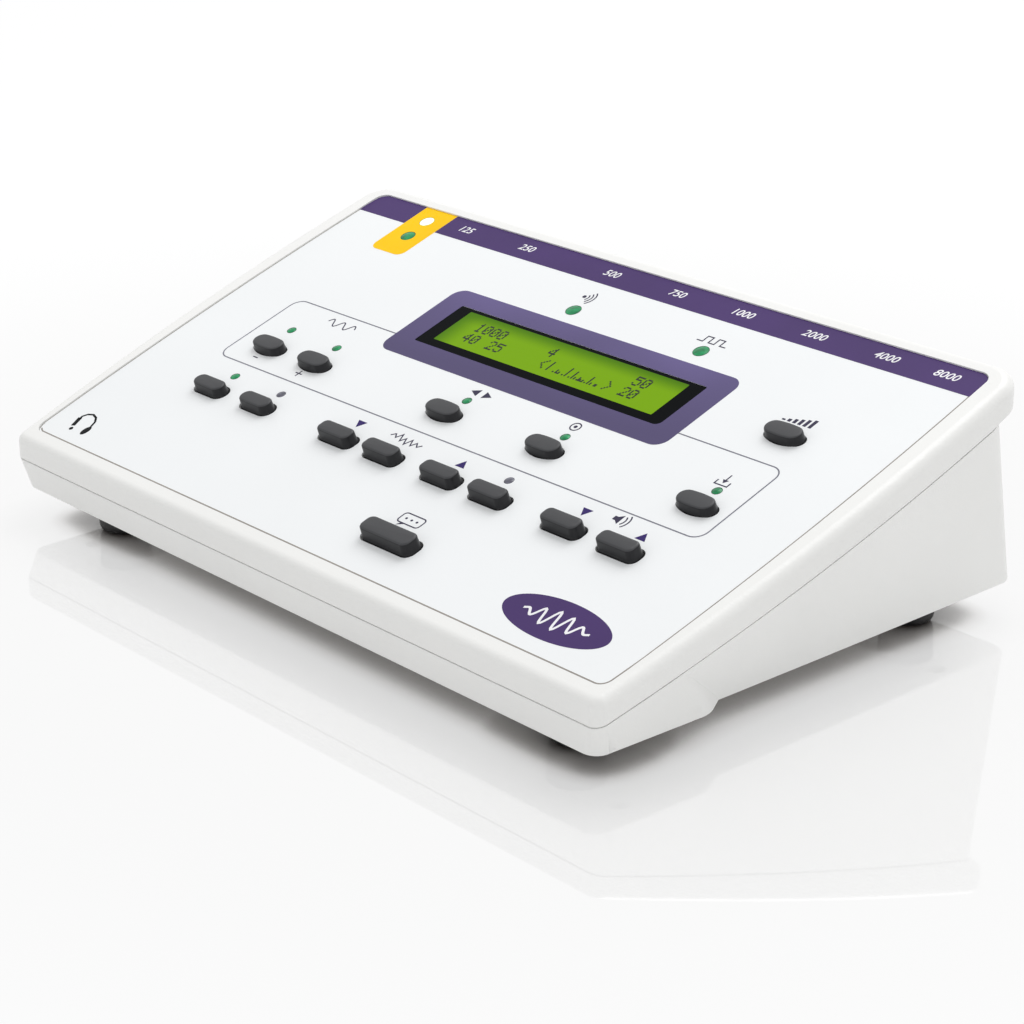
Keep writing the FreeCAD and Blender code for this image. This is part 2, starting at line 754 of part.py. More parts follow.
def nose_block():
    """Nose with the outer corners of its end rounded."""
    nose = nose_loft(0)
    edges = []
    for edge in nose.Edges:
        ends = [edge.Vertexes[0].Point, edge.Vertexes[-1].Point]
        upright = abs(ends[0].z - ends[1].z) > foot_height / 2
        outermost = min(abs(end.x) for end in ends) > nose_half_width - nose_end_reach / 2
        if upright and outermost and min(end.y for end in ends) > nose_end / 2:
            edges.append(edge)
    nose = nose.makeFillet(nose_end_radius, edges)
    rims = [edge for edge in nose.Edges if edge.BoundBox.ZMax < foot_height + touch]
    return nose.makeFillet(base_edge_radius, rims)


def head_seat(y):
    """Height of the face that a case screw's head bears on."""
    return boss_end(y) - case_screw_length + case_screw_bite


def screw_post(x, y):
    """Base post that carries a case screw, with the recess its head sinks into."""
    radius = screw_head_radius + boss_wall
    return cylinder(radius, x, y, foot_height, boss_end(y))


def tongue():
    """Rib that rises from the base's inner edge and lines the halves up, open behind the key board."""
    gap_inset = wall + tongue_clearance
    inner_inset = gap_inset + tongue_thickness
    tall = tongue_root + tongue_height + 2 * pierce
    bore = prism(lower_outline(-tongue_root - pierce, inner_inset), tall)
    low = prism(lower_outline(-tongue_root, wall / 2), tongue_root - groove_height)
    high = prism(lower_outline(-groove_height, gap_inset), tongue_height + groove_height)
    rear = box(-far, far, board_rear_y - tongue_board_gap, far, 0, far)
    return fused([low, high]).cut(bore).cut(rear)


def base_shell():
    """Lower half: stepped sides, floor, screw posts and the rear connector bay."""
    shell = fused([nose_block(), rear_loft(0)])
    outside = shell.copy()
    above_floor = box(-far, far, -far, far, foot_height + floor_thickness, far)
    cavity = nose_loft(wall).fuse(rear_loft(wall)).common(above_floor)
    shell = shell.cut(cavity)

    half = bay_length / 2 + wall
    bay_top = bay_bottom + bay_height + wall
    bay = box(-half, half, panel_inner, base_rear_y, bay_bottom - wall, bay_top)
    extras = [bay.common(outside), tongue()]
    extras += [screw_post(x, y).common(outside) for x, y in screw_post_places()]
    for x, y in io_screw_places():
        extras.append(cylinder(boss_radius, x, y, foot_height + floor_thickness / 2, io_board_height))
    shell = fused([shell] + extras)

    ring = prism(lower_outline(-groove_height, -lip_overhang_rear), groove_height + pierce)
    ring = ring.cut(prism(lower_outline(-groove_height, groove_depth), groove_height + pierce))
    tools = [bay_pocket(), ring] + panel_holes()
    for x, y in screw_post_places():
        tools.append(cylinder(screw_head_radius + panel_clearance, x, y, foot_height - pierce, head_seat(y)))
        tools.append(cylinder(thread_radius, x, y, foot_height, boss_end(y)))
    for x, y in foot_places():
        peg = foot_peg_radius + foot_peg_clearance
        tools.append(cylinder(peg, x, y, foot_height - pierce, foot_height + floor_thickness + pierce))
    for x, y in io_screw_places():
        tools.append(cylinder(thread_radius, x, y, io_board_height - board_screw_length, io_board_height))
    keep("base_shell", [shell.cut(Part.makeCompound(tools))])


def bay_pocket():
    """Recess in the rear wall that shelters the sockets."""
    half = bay_length / 2
    top = bay_bottom + bay_height
    pocket = box(-half, half, panel_y, base_rear_y + pierce, bay_bottom, top)
    edges = [edge for edge in pocket.Edges if abs(edge.Vertexes[0].Y - edge.Vertexes[-1].Y) > touch]
    return pocket.makeFillet(bay_corner, edges)


# ---- connectors --------------------------------------------------------------------------------
def jack_places():
    return [jack_first_x + k * jack_pitch for k in range(jack_count)]


def rod(radius, x, z, y0, y1):
    """Cylinder along Y."""
    return Part.makeCylinder(radius, y1 - y0, V(x, y0, z), Y_AXIS)


def io_board_top():
    return io_board_height + board_thickness


def panel_holes():
    """Cut-outs in the connector panel."""
    y0 = panel_inner - pierce
    y1 = panel_y + pierce
    tools = [rod(jack_bush_radius + panel_clearance, x, jack_axis_height, y0, y1) for x in jack_places()]
    for x, width, height in ((port_x, port_width, port_height), (inlet_x, inlet_width, inlet_height)):
        a = width / 2 + panel_clearance
        low = io_board_top() - panel_clearance
        tools.append(box(x - a, x + a, y0, y1, low, io_board_top() + height + panel_clearance))
    return tools


def jack_sockets():
    """Panel sockets for 6.35 mm plugs: body on the board, threaded bush through the panel."""
    sockets = []
    nuts = []
    half = jack_body_width / 2
    front = panel_inner - jack_body_length
    bush_end = panel_y + jack_bush_proud
    bottom = io_board_top()
    for x in jack_places():
        body = box(x - half, x + half, front, panel_inner, bottom, bottom + jack_body_height)
        bush = rod(jack_bush_radius, x, jack_axis_height, panel_inner - pierce, bush_end)
        bore = rod(jack_bore_radius, x, jack_axis_height, bush_end - jack_bore_length, bush_end + pierce)
        sockets.append(fused([body, bush]).cut(bore))
        nuts.append(hex_nut(x))
    keep("jack_sockets", sockets)
    keep("jack_nuts", nuts)


def hex_nut(x):
    """Hexagon nut on a socket's bush, against the panel."""
    sixth = math.pi / 3
    corner = jack_nut_across_flats / 2 / math.cos(sixth / 2)
    points = []
    for k in (0, 1, 2, 3, 4, 5, 0):
        point = V(x, panel_y, jack_axis_height)
        points.append(point + V(corner * math.cos(k * sixth), 0, corner * math.sin(k * sixth)))
    nut = Part.Face(Part.makePolygon(points)).extrude(V(0, jack_nut_thickness, 0))
    end = panel_y + jack_nut_thickness
    return nut.cut(rod(jack_bush_radius + thread_clearance, x, jack_axis_height, panel_y, end))


def data_port():
    """Square data socket with a centre tongue."""
    half = port_width / 2
    low = io_board_top()
    end = panel_y
    body = box(port_x - half, port_x + half, end - port_length, end, low, low + port_height)
    a = half - port_wall
    back = end - port_cavity_depth
    cavity = box(port_x - a, port_x + a, back, end + pierce, low + port_wall, low + port_height - port_wall)
    rise = low + (port_height - port_tongue_height) / 2
    front = end - port_tongue_setback
    blade = box(port_x - a / 2, port_x + a / 2, back, front, rise, rise + port_tongue_height)
    keep("data_port", [fused([body.cut(cavity), blade])])


def power_inlet():
    """Round low-voltage inlet with a centre pin."""
    half = inlet_width / 2
    low = io_board_top()
    end = panel_y
    middle = low + inlet_height / 2
    body = box(inlet_x - half, inlet_x + half, end - inlet_length, end, low, low + inlet_height)
    body = body.cut(rod(inlet_bore_radius, inlet_x, middle, end - inlet_bore_depth, end + pierce))
    pin = rod(inlet_pin_radius, inlet_x, middle, end - inlet_bore_depth, end - inlet_pin_setback)
    keep("power_inlet", [fused([body, pin])])


# ---- boards, cable and chips -------------------------------------------------------------------
def key_board():
    """Main board under the deck, following the case's outline."""
    bottom = -key_board_underside
    widths = [half - board_side_margin for half in deck_half_widths]
    wire = case_outline(widths, board_front, deck_length - board_rear_margin, deck_corners, bottom)
    board = prism(wire, board_thickness)
    for u, v in key_board_screw_places():
        board = board.cut(cylinder(thread_radius, u, v, bottom, -key_board_depth))
    keep("key_board", [placed(board, deck_frame)])


def io_screw_places():
    half = io_board_length / 2 - io_screw_side
    return [(-half, io_board_front + io_screw_front), (half, io_board_front + io_screw_front)]


def io_board():
    half = io_board_length / 2
    board = box(-half, half, io_board_front, io_board_rear, io_board_height, io_board_top())
    for x, y in io_screw_places():
        board = board.cut(cylinder(thread_radius, x, y, io_board_height, io_board_top()))
    keep("io_board", [board])


def screw(length):
    """Pan-head screw, head up, its bearing face at the origin and its shank pointing down."""
    shank = cylinder(screw_radius, 0, 0, -length, 0)
    head = cylinder(screw_head_radius, 0, 0, 0, screw_head_height)
    return fused([shank, head])


def board_screws():
    """Short screws that hold the three boards."""
    upright = screw(board_screw_length - screw_end_gap + board_thickness)
    turned = upright.copy()
    turned.rotate(V(0, 0, 0), X_AXIS, 180)
    solids = []
    lcd_face = -overlay_thickness - lcd_frame_height - board_thickness
    places = [(u, v, -key_board_underside) for u, v in key_board_screw_places()]
    places += [(u, v, lcd_face) for u, v in lcd_screw_places()]
    for u, v, n in places:
        copy = turned.copy()
        copy.translate(V(u, v, n))
        solids.append(placed(copy, deck_frame))
    for x, y in io_screw_places():
        copy = upright.copy()
        copy.translate(V(x, y, io_board_top()))
        solids.append(copy)
    keep("board_screws", solids)


def case_screws():
    """Long screws from below that draw the halves together."""
    solids = []
    for x, y in screw_post_places():
        item = screw(case_screw_length - screw_end_gap)
        item.rotate(V(0, 0, 0), X_AXIS, 180)
        item.translate(V(x, y, head_seat(y)))
        solids.append(item)
    keep("case_screws", solids)


def ribbon():
    """Flat cable between the boards, with a socket on each."""
    half = ribbon_width / 2
    thick = ribbon_thickness / 2
    board_face = -key_board_underside
    grip = half + socket_wall
    low_y = io_board_front + ribbon_setback
    bend_reach = ribbon_bend_radius * (1 - math.cos(slope)) + ribbon_lead * math.sin(slope)
    ribbon_v = (low_y - bend_reach - (socket_height - board_face) * math.sin(slope)) / math.cos(slope)
    upper = box(
        ribbon_x - grip,
        ribbon_x + grip,
        ribbon_v - socket_depth / 2,
        ribbon_v + socket_depth / 2,
        board_face - socket_height,
        board_face,
    )
    start = deck_point(0, ribbon_v, board_face - socket_height)
    down = V(0, math.sin(slope), -math.cos(slope))
    forward = V(0, -math.cos(slope), -math.sin(slope))
    bend_start = start + down * ribbon_lead
    centre = bend_start + forward * ribbon_bend_radius
    low_z = io_board_top() + socket_height
    edges = []
    rims = []
    for offset in (-thick, thick):
        radius = ribbon_bend_radius + offset
        a = start - forward * offset
        b = centre - forward * radius
        c = V(0, centre.y + radius, centre.z)
        turn = math.radians(deck_slope) / 2
        middle = V(0, centre.y + radius * math.cos(turn), centre.z + radius * math.sin(turn))
        d = V(0, low_y + offset, low_z)
        rims.append((a, d))
        edges += [Part.LineSegment(a, b), Part.Arc(b, middle, c), Part.LineSegment(c, d)]
    edges.append(Part.LineSegment(rims[0][0], rims[1][0]))
    edges.append(Part.LineSegment(rims[0][1], rims[1][1]))
    wires = Part.sortEdges([edge.toShape() for edge in edges])
    strip = Part.Face(Part.Wire(wires[0])).extrude(V(ribbon_width, 0, 0))
    strip.translate(V(ribbon_x - half, 0, 0))
    keep("ribbon_cable", [strip])
    lower = box(
        ribbon_x - grip,
        ribbon_x + grip,
        low_y - socket_depth / 2,
        low_y + socket_depth / 2,
        io_board_top(),
        low_z,
    )
    keep("ribbon_sockets", [placed(upper, deck_frame), lower])


def under_board(u, v, length, width, height):
    """A chip on the key board's underside."""
    face = -key_board_underside
    a = length / 2
    b = width / 2
    return placed(box(u - a, u + a, v - b, v + b, face - height, face), deck_frame)


def board_chips():
    """Processor, audio amplifiers and capacitors on the boards."""
    size = processor_size
    chip = under_board(0, processor_v, size, size, processor_height)
    keep("processor_chip", [chip])
    amps = []
    for k in range(amplifier_count):
        u = amplifier_first_u + k * amplifier_pitch
        amps.append(under_board(u, amplifier_v, amplifier_length, amplifier_width, amplifier_height))
    keep("amplifier_chips", amps)
    top = io_board_top() + capacitor_height
    y = io_board_front + capacitor_setback
    keep("capacitors", [cylinder(capacitor_radius, x, y, io_board_top(), top) for x in capacitor_places_x])


# ---- feet --------------------------------------------------------------------------------------
def foot_places():
    front_x = nose_half_width - foot_front_side
    rear_x = base_half_width - foot_rear_side
    rear_y = base_rear_y - foot_rear_setback
    return [
        (-front_x, foot_front_left_y),
        (front_x, foot_front_right_y),
        (-rear_x, rear_y),
        (rear_x, rear_y),
    ]


def rubber_feet():
    """Tapered round feet with a peg through the floor."""
    solids = []
    for x, y in foot_places():
        cone = Part.makeCone(foot_bottom_radius, foot_top_radius, foot_height, V(x, y, 0), Z_AXIS)
        rims = [edge for edge in cone.Edges if edge.BoundBox.ZMax < touch]
        cone = cone.makeFillet(foot_edge_radius, rims)
        peg = cylinder(foot_peg_radius, x, y, foot_height - pierce, foot_height + floor_thickness)
        solids.append(fused([cone, peg]))
    keep("rubber_feet", solids)


top_shell()
base_shell()
fascia_overlay()
lcd_stack()
keys_and_plungers()
switch_housings()
lamps()
key_board()
io_board()
board_screws()
case_screws()
jack_sockets()
data_port()
power_inlet()
ribbon()
board_chips()
rubber_feet()
shift = write_pieces()
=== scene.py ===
import json
import math
import bmesh
import bpy
from mathutils import Matrix, Vector


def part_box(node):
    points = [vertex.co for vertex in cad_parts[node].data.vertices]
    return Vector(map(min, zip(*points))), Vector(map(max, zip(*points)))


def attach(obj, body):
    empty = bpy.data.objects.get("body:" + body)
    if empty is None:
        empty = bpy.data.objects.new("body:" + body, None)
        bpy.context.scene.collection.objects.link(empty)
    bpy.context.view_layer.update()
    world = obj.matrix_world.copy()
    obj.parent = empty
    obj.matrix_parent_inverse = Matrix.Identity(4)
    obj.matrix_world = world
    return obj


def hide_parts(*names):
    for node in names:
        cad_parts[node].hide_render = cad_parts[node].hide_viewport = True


# A desktop audiometer: white moulded case, printed deck sheet, black keys, green display.
# Blender works in metres. Deck places are written in millimetres: u to the right, v up the slope
# from the sheet's front edge, n out of the sheet.

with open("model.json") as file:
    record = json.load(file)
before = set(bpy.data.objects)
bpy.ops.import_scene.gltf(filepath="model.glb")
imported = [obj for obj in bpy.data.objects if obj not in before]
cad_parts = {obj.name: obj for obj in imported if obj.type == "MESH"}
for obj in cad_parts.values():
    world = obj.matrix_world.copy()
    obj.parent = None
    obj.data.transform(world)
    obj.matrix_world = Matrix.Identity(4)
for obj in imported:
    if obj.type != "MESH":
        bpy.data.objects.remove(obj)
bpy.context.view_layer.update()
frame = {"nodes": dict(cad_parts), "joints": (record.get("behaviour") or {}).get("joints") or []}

MM = 0.001

# ---- deck frame ----------------------------------------------------------------------------------
sheet_thickness = 0.5          # millimetres
weld_distance = 0.01           # points of a CAD mesh that are this near, in millimetres, are one
press_axis = next(j["axis"] for j in frame["joints"] if j["name"] == "channel_press")
slope = math.atan2(press_axis[1], -press_axis[2])
sheet_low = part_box("fascia_overlay")[0]
deck_origin = Vector((0, sheet_low.y, sheet_low.z + sheet_thickness * MM * math.cos(slope)))
deck_matrix = Matrix.Translation(deck_origin) @ Matrix.Rotation(slope, 4, "X")
to_deck = deck_matrix @ Matrix.Scale(MM, 4)    # deck millimetres to metres in the frame
from_deck = to_deck.inverted()

# ---- printed sheet, millimetres ------------------------------------------------------------------
sheet_length = 152.8
sheet_half_widths = (129.2, 132.7, 131.6)    # front, middle, rear
sheet_corner = 4.0
print_sink = 0.03              # prints start just below the sheet's face
print_rise = 0.05              # and stand this far above it
edge_rise = 0.01               # the painted gap lines along the sheet's edge stay below the prints
ring_lift = 0.02               # lamp rings over the prints under them
white_lift = 0.03              # white ink over the purple under it
edge_hidden = 0.55             # the painted gap shadow lies this far inside, in front and to the right
edge_near = 0.50               # its width there
edge_far = 0.34                # and to the left
rear_gap_light_width = 0.9               # white line over the gap along the rear edge: painted light that hides the gap's shadow
strip_front = 142.1            # purple strip along the rear edge
strip_overlap = 0.10           # it ends this far outside the sheet's edge
number_height = 4.3
number_slant = 0.18
number_weight = 0.04           # added to the strokes' edges
number_offset = 0.2            # to the rear of the strip's middle
label_u = (-108.6, -93.0)      # yellow label with two lamps
label_front = 126.2
label_corner = 3.0
bezel_u = (-56.5, 67.5)
bezel_v = (84.4, 120.6)
bezel_corner = 4.5
window_corners = (0.7, 2.2, 0.7, 0.7)
field_u = (-42.0, 53.4)        # green viewing area
field_v = (95.6, 112.0)
field_corner = 0.4
field_rise = 0.02              # rise of the green field over the window, and of the dots over it
panel_u = (-105.5, 108.0)      # thin rule around the upper keys
panel_v = (57.6, 92.3)
panel_corner = 4.0
rule_width = 0.42
stroke = 0.42                  # line width of the symbols
oval_centre = (97.9, 13.6)
oval_half = (19.5, 7.7)
badge_wave = (25.0, 3.4, 5)    # length, greatest half height and periods
badge_stroke = 0.8
headset_stroke = 0.75
small_lamp = 1.5               # radii of the lamps
large_lamp = 2.5
lamp_ring = 0.10               # dark ring around a lamp
mitre_limit = 0.4              # sharper corners of a line are cut shorter

# ---- inks and plastics, linear colours -----------------------------------------------------------
purple = (0.053, 0.023, 0.126)
bezel_purple = (0.086, 0.066, 0.176)
ink_purple = (0.022, 0.006, 0.115)
ink_dark = (0.030, 0.025, 0.060)
ink_grey = (0.17, 0.17, 0.21)
yellow = (0.93, 0.56, 0.001)
black = (0.004, 0.005, 0.006)
sheet_white = (0.845, 0.862, 0.872)
case_white = (0.84, 0.84, 0.825)
# green of the field in its painted shadow under the window's edges, and lit
field_shadow_green = (0.055, 0.155, 0.001)
field_bright = (0.155, 0.315, 0.002)

# ---- finishes: noise scales count per metre, bump depths are metres ------------------------------
noise_span = (0.35, 0.65)      # values of a noise between which a finish changes
gloss_clouds = 60.0            # broad changes in a moulding's gloss
gloss_swing = 0.04
colour_clouds = 18.0           # still broader changes in its colour
colour_swing = 0.015
ink_peel = (900.0, 0.10, 0.00002)        # an ink's orange peel: scale, strength, depth
ink_clouds = 45.0
ink_specular = 0.2
bezel_clouds = 22.0
bezel_span = (0.05, 0.5)       # values of depth times clouds over which the painted sheen makes the bezel paler
drawing_marks = (300.0, 0.15, 0.00002)   # fine marks along drawn metal
drawing_stretch = (1, 1, 12)
drawing_swing = (-0.05, 0.08)  # of a metal's roughness
resin_swirl = 520.0
resin_swing = 0.3
field_grain = (1500.0, 0.05, 0.00001)
field_glow = 0.18
field_shadow_fades = (("X", -0.02, 0.10), ("Y", 1.04, 0.62))    # painted shadow of the window's frame along the left and the rear edge

# ---- small helpers -------------------------------------------------------------------------------
collection = bpy.context.scene.collection


def add_object(name, data, body="root"):
    """A new object at the origin that rides on a body and takes its finish from a slot."""
    piece = bpy.data.objects.new(name, data)
    collection.objects.link(piece)
    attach(piece, body)
    return piece


def curve_mesh(curve, place):
    """A curve or a text made a mesh, with its place applied."""
    holder = bpy.data.objects.new("holder", curve)
    collection.objects.link(holder)
    bpy.context.view_layer.update()
    evaluated = holder.evaluated_get(bpy.context.evaluated_depsgraph_get())
    mesh = bpy.data.meshes.new_from_object(evaluated)
    mesh.transform(place)
    bpy.data.objects.remove(holder)
    bpy.data.curves.remove(curve)
    return mesh


def joined(name, meshes, material):
    """One mesh from several, with one material."""
    bm = bmesh.new()
    for mesh in meshes:
        bm.from_mesh(mesh)
        bpy.data.meshes.remove(mesh)
    result = bpy.data.meshes.new(name)
    bm.to_mesh(result)
    bm.free()
    result.materials.append(material)
    return result


# ---- materials -----------------------------------------------------------------------------------
def new_material(name, colour, roughness, **sockets):
    """A principled material. Returns it with its shader."""
    material = bpy.data.materials.new(name)
    material.use_nodes = True
    shader = material.node_tree.nodes["Principled BSDF"]
    shader.inputs["Base Color"].default_value = (*colour, 1)
    shader.inputs["Roughness"].default_value = roughness
    for socket, value in sockets.items():
        shader.inputs[socket.replace("_", " ")].default_value = value
    return material, shader


def object_noise(material, scale, detail=2.0, stretch=(1, 1, 1)):
    """Noise on object coordinates, stretched along the axes. Returns the noise node."""
    tree = material.node_tree
    place = tree.nodes.new("ShaderNodeTexCoord")
    mapping = tree.nodes.new("ShaderNodeMapping")
    mapping.inputs["Scale"].default_value = stretch
    noise = tree.nodes.new("ShaderNodeTexNoise")
    noise.inputs["Scale"].default_value = scale
    noise.inputs["Detail"].default_value = detail
    tree.links.new(place.outputs["Object"], mapping.inputs["Vector"])
    tree.links.new(mapping.outputs["Vector"], noise.inputs["Vector"])
    return noise


def add_bump(material, shader, noise, strength, distance):
    """Noise that moves the surface in and out."""
    tree = material.node_tree
    bump = tree.nodes.new("ShaderNodeBump")
    bump.inputs["Strength"].default_value = strength
    bump.inputs["Distance"].default_value = distance
    tree.links.new(noise.outputs["Fac"], bump.inputs["Height"])
    tree.links.new(bump.outputs["Normal"], shader.inputs["Normal"])


def add_range(material, shader, noise, socket, low, high):
    """Noise that moves a socket between two values or two colours."""
    tree = material.node_tree
    ramp = tree.nodes.new("ShaderNodeValToRGB")
    for end, position, value in zip(ramp.color_ramp.elements, noise_span, (low, high)):
        end.position = position
        end.color = (*value, 1) if isinstance(value, tuple) else (value, value, value, 1)
    tree.links.new(noise.outputs["Fac"], ramp.inputs["Fac"])
    tree.links.new(ramp.outputs["Color"], shader.inputs[socket])


def shade(colour, factor):
    """A darker or a brighter colour of the same hue."""
    return tuple(c * factor for c in colour)


def moulded_plastic(name, colour, roughness, grain, depth, strength=0.35, specular=0.5):
    """Moulded plastic: fine spark-eroded grain, faint mottling in its gloss and colour."""
    material, shader = new_material(name, colour, roughness, Specular_IOR_Level=specular)
    add_bump(material, shader, object_noise(material, grain, detail=3.0), strength, depth)
    gloss = object_noise(material, gloss_clouds)
    add_range(material, shader, gloss, "Roughness", roughness - gloss_swing, roughness + gloss_swing)
    tint = object_noise(material, colour_clouds, detail=1.0)
    add_range(material, shader, tint, "Base Color", shade(colour, 1 - colour_swing), shade(colour, 1))
    return material


def printed_ink(name, colour, roughness=0.5, swing=0.05, specular=ink_specular):
    """Screen-printed ink: an even colour with a faint orange-peel surface."""
    material, shader = new_material(name, colour, roughness, Specular_IOR_Level=specular)
    scale, strength, depth = ink_peel
    add_bump(material, shader, object_noise(material, scale, detail=1.0), strength, depth)
    tint = object_noise(material, ink_clouds)
    add_range(material, shader, tint, "Base Color", shade(colour, 1 - swing), shade(colour, 1 + swing))
    return material


def sheen_ink(name, front, rear, roughness):
    """Printed ink with a painted sheen: it grows paler towards the rear of the bezel, with faint clouds.
    """
    material, shader = new_material(name, front, roughness, Specular_IOR_Level=ink_specular)
    scale, strength, bump_depth = ink_peel
    add_bump(material, shader, object_noise(material, scale, detail=1.0), strength, bump_depth)
    tree = material.node_tree
    place = tree.nodes.new("ShaderNodeTexCoord")
    split = tree.nodes.new("ShaderNodeSeparateXYZ")
    tree.links.new(place.outputs["Object"], split.inputs["Vector"])
    depth = tree.nodes.new("ShaderNodeMapRange")
    depth.inputs["From Min"].default_value = (to_deck @ Vector((0, bezel_v[0], 0))).y
    depth.inputs["From Max"].default_value = (to_deck @ Vector((0, bezel_v[1], 0))).y
    tree.links.new(split.outputs["Y"], depth.inputs["Value"])
    cloud = object_noise(material, bezel_clouds, detail=1.0)
    mix = tree.nodes.new("ShaderNodeMath")
    mix.operation = "MULTIPLY"
    tree.links.new(depth.outputs["Result"], mix.inputs[0])
    tree.links.new(cloud.outputs["Fac"], mix.inputs[1])
    ramp = tree.nodes.new("ShaderNodeValToRGB")
    for end, position, colour in zip(ramp.color_ramp.elements, bezel_span, (front, rear)):
        end.position = position
        end.color = (*colour, 1)
    tree.links.new(mix.outputs[0], ramp.inputs["Fac"])
    tree.links.new(ramp.outputs["Color"], shader.inputs["Base Color"])
    return material


def metal(name, colour, roughness):
    """Plated metal with fine drawing marks."""
    material, shader = new_material(name, colour, roughness, Metallic=1.0)
    scale, strength, depth = drawing_marks
    brushed = object_noise(material, scale, stretch=drawing_stretch)
    add_bump(material, shader, brushed, strength, depth)
    low, high = drawing_swing
    add_range(material, shader, brushed, "Roughness", roughness + low, roughness + high)
    return material


def lamp_plastic(name, colour, glow=0.0, glow_colour=(1, 1, 1)):
    """Tinted lamp body: glossy, with the uneven depth of cast resin."""
    material, shader = new_material(name, colour, roughness=0.22, Specular_IOR_Level=0.3)
    swirl = object_noise(material, resin_swirl)
    deep, pale = shade(colour, 1 - resin_swing), shade(colour, 1 + resin_swing)
    add_range(material, shader, swirl, "Base Color", deep, pale)
    shader.inputs["Emission Color"].default_value = (*glow_colour, 1)
    shader.inputs["Emission Strength"].default_value = glow
    return material


def display_green():
    """Lit green field with a painted shadow: a little darker under the window's rear and left edges."""
    material, shader = new_material("display_green", field_bright, 0.3, Specular_IOR_Level=0.04)
    tree = material.node_tree
    uv = tree.nodes.new("ShaderNodeUVMap")
    uv.uv_map = "field"
    split = tree.nodes.new("ShaderNodeSeparateXYZ")
    tree.links.new(uv.outputs["UV"], split.inputs["Vector"])
    shades = []
    for axis, start, end in field_shadow_fades:
        fade = tree.nodes.new("ShaderNodeMapRange")
        fade.interpolation_type = "SMOOTHSTEP"
        fade.inputs["From Min"].default_value = start
        fade.inputs["From Max"].default_value = end
        tree.links.new(split.outputs[axis], fade.inputs["Value"])
        shades.append(fade)
    both = tree.nodes.new("ShaderNodeMath")
    both.operation = "MULTIPLY"
    tree.links.new(shades[0].outputs["Result"], both.inputs[0])
    tree.links.new(shades[1].outputs["Result"], both.inputs[1])
    ramp = tree.nodes.new("ShaderNodeValToRGB")
    ramp.color_ramp.elements[0].color = (*field_shadow_green, 1)
    ramp.color_ramp.elements[1].color = (*field_bright, 1)
    tree.links.new(both.outputs[0], ramp.inputs["Fac"])
    tree.links.new(ramp.outputs["Color"], shader.inputs["Base Color"])
    tree.links.new(ramp.outputs["Color"], shader.inputs["Emission Color"])
    shader.inputs["Emission Strength"].default_value = field_glow
    scale, strength, depth = field_grain
    add_bump(material, shader, object_noise(material, scale, detail=1.0), strength, depth)
    return material


case_plastic = moulded_plastic(
    "case_plastic", case_white, roughness=0.36, grain=1700.0, depth=0.00009, strength=0.6)
sheet_plastic = moulded_plastic(
    "sheet_plastic", sheet_white, roughness=0.40, grain=1800.0, depth=0.00002)
key_plastic = moulded_plastic(
    "key_plastic", (0.008, 0.008, 0.010), roughness=0.34, grain=2600.0, depth=0.00001, specular=0.3)
# lighter key tops: partly a rougher grained finish, partly painted light from above
key_top_finish_and_painted_light = moulded_plastic(
    "key_top_finish_and_painted_light", (0.036, 0.037, 0.041), roughness=0.46, grain=2200.0, depth=0.00004, specular=0.4)
foot_rubber = moulded_plastic(
    "foot_rubber", (0.012, 0.012, 0.013), roughness=0.45, grain=900.0, depth=0.00003)
connector_plastic = moulded_plastic(
    "connector_plastic", (0.018, 0.018, 0.020), roughness=0.35, grain=1500.0, depth=0.00002)
board_mask = moulded_plastic(
    "board_mask", (0.015, 0.10, 0.045), roughness=0.35, grain=600.0, depth=0.00001)
nickel = metal("nickel", (0.66, 0.64, 0.60), roughness=0.22)
steel = metal("steel", (0.55, 0.55, 0.54), roughness=0.32)
strip_ink = printed_ink("strip_ink", purple)
# painted sheen: the bezel's purple is darker at the front and paler at the rear
bezel_ink_painted_sheen = sheen_ink("bezel_ink_painted_sheen", shade(bezel_purple, 0.80), shade(bezel_purple, 1.32), roughness=0.40)
symbol_ink = printed_ink("symbol_ink", ink_purple)
legend_ink = printed_ink("legend_ink", ink_dark)
rule_ink = printed_ink("rule_ink", ink_grey)
# painted shadow of the gap between the sheet and the rim: a thin dark grey-brown line
gap_shadow_ink = printed_ink("gap_shadow_ink", (0.30, 0.275, 0.25), roughness=0.7)
ring_ink = printed_ink("ring_ink", (0.025, 0.075, 0.045))
label_ink = printed_ink("label_ink", yellow, roughness=0.42, swing=0.03, specular=0.08)
# white print, also used for the painted light over the rear gap
white_print_and_gap_light = printed_ink("white_print_and_gap_light", (0.86, 0.86, 0.88))
black_ink = printed_ink("black_ink", black, specular=0.08)
window_black = printed_ink("window_black", (0.0015, 0.0022, 0.0030), roughness=0.25, specular=0.02)
segment_ink = printed_ink("segment_ink", (0.003, 0.010, 0.001), roughness=0.30)
field_green = display_green()
green_lamp = lamp_plastic("green_lamp", (0.006, 0.235, 0.080))
grey_lamp = lamp_plastic("grey_lamp", (0.125, 0.125, 0.160))
lit_lamp = lamp_plastic("lit_lamp", (0.72, 0.92, 0.62), glow=0.55, glow_colour=(0.85, 1.0, 0.75))


# ---- outlines, lists of deck points in millimetres -----------------------------------------------
def arc_points(centre, radius, start, end, steps=8):
    """Points of an arc, angles in degrees."""
    points = []
    for k in range(steps + 1):
        a = math.radians(start + (end - start) * k / steps)
        points.append((centre[0] + radius * math.cos(a), centre[1] + radius * math.sin(a)))
    return points


def circle(centre, radius, steps=48):
    """Points of a full circle, the first one not repeated."""
    return arc_points(centre, radius, 0, 360 - 360 / steps, steps - 1)


def ellipse(centre, half, steps=72):
    """Points of an ellipse with the given half axes."""
    return [(centre[0] + half[0] * x, centre[1] + half[1] * y) for x, y in circle((0, 0), 1, steps)]


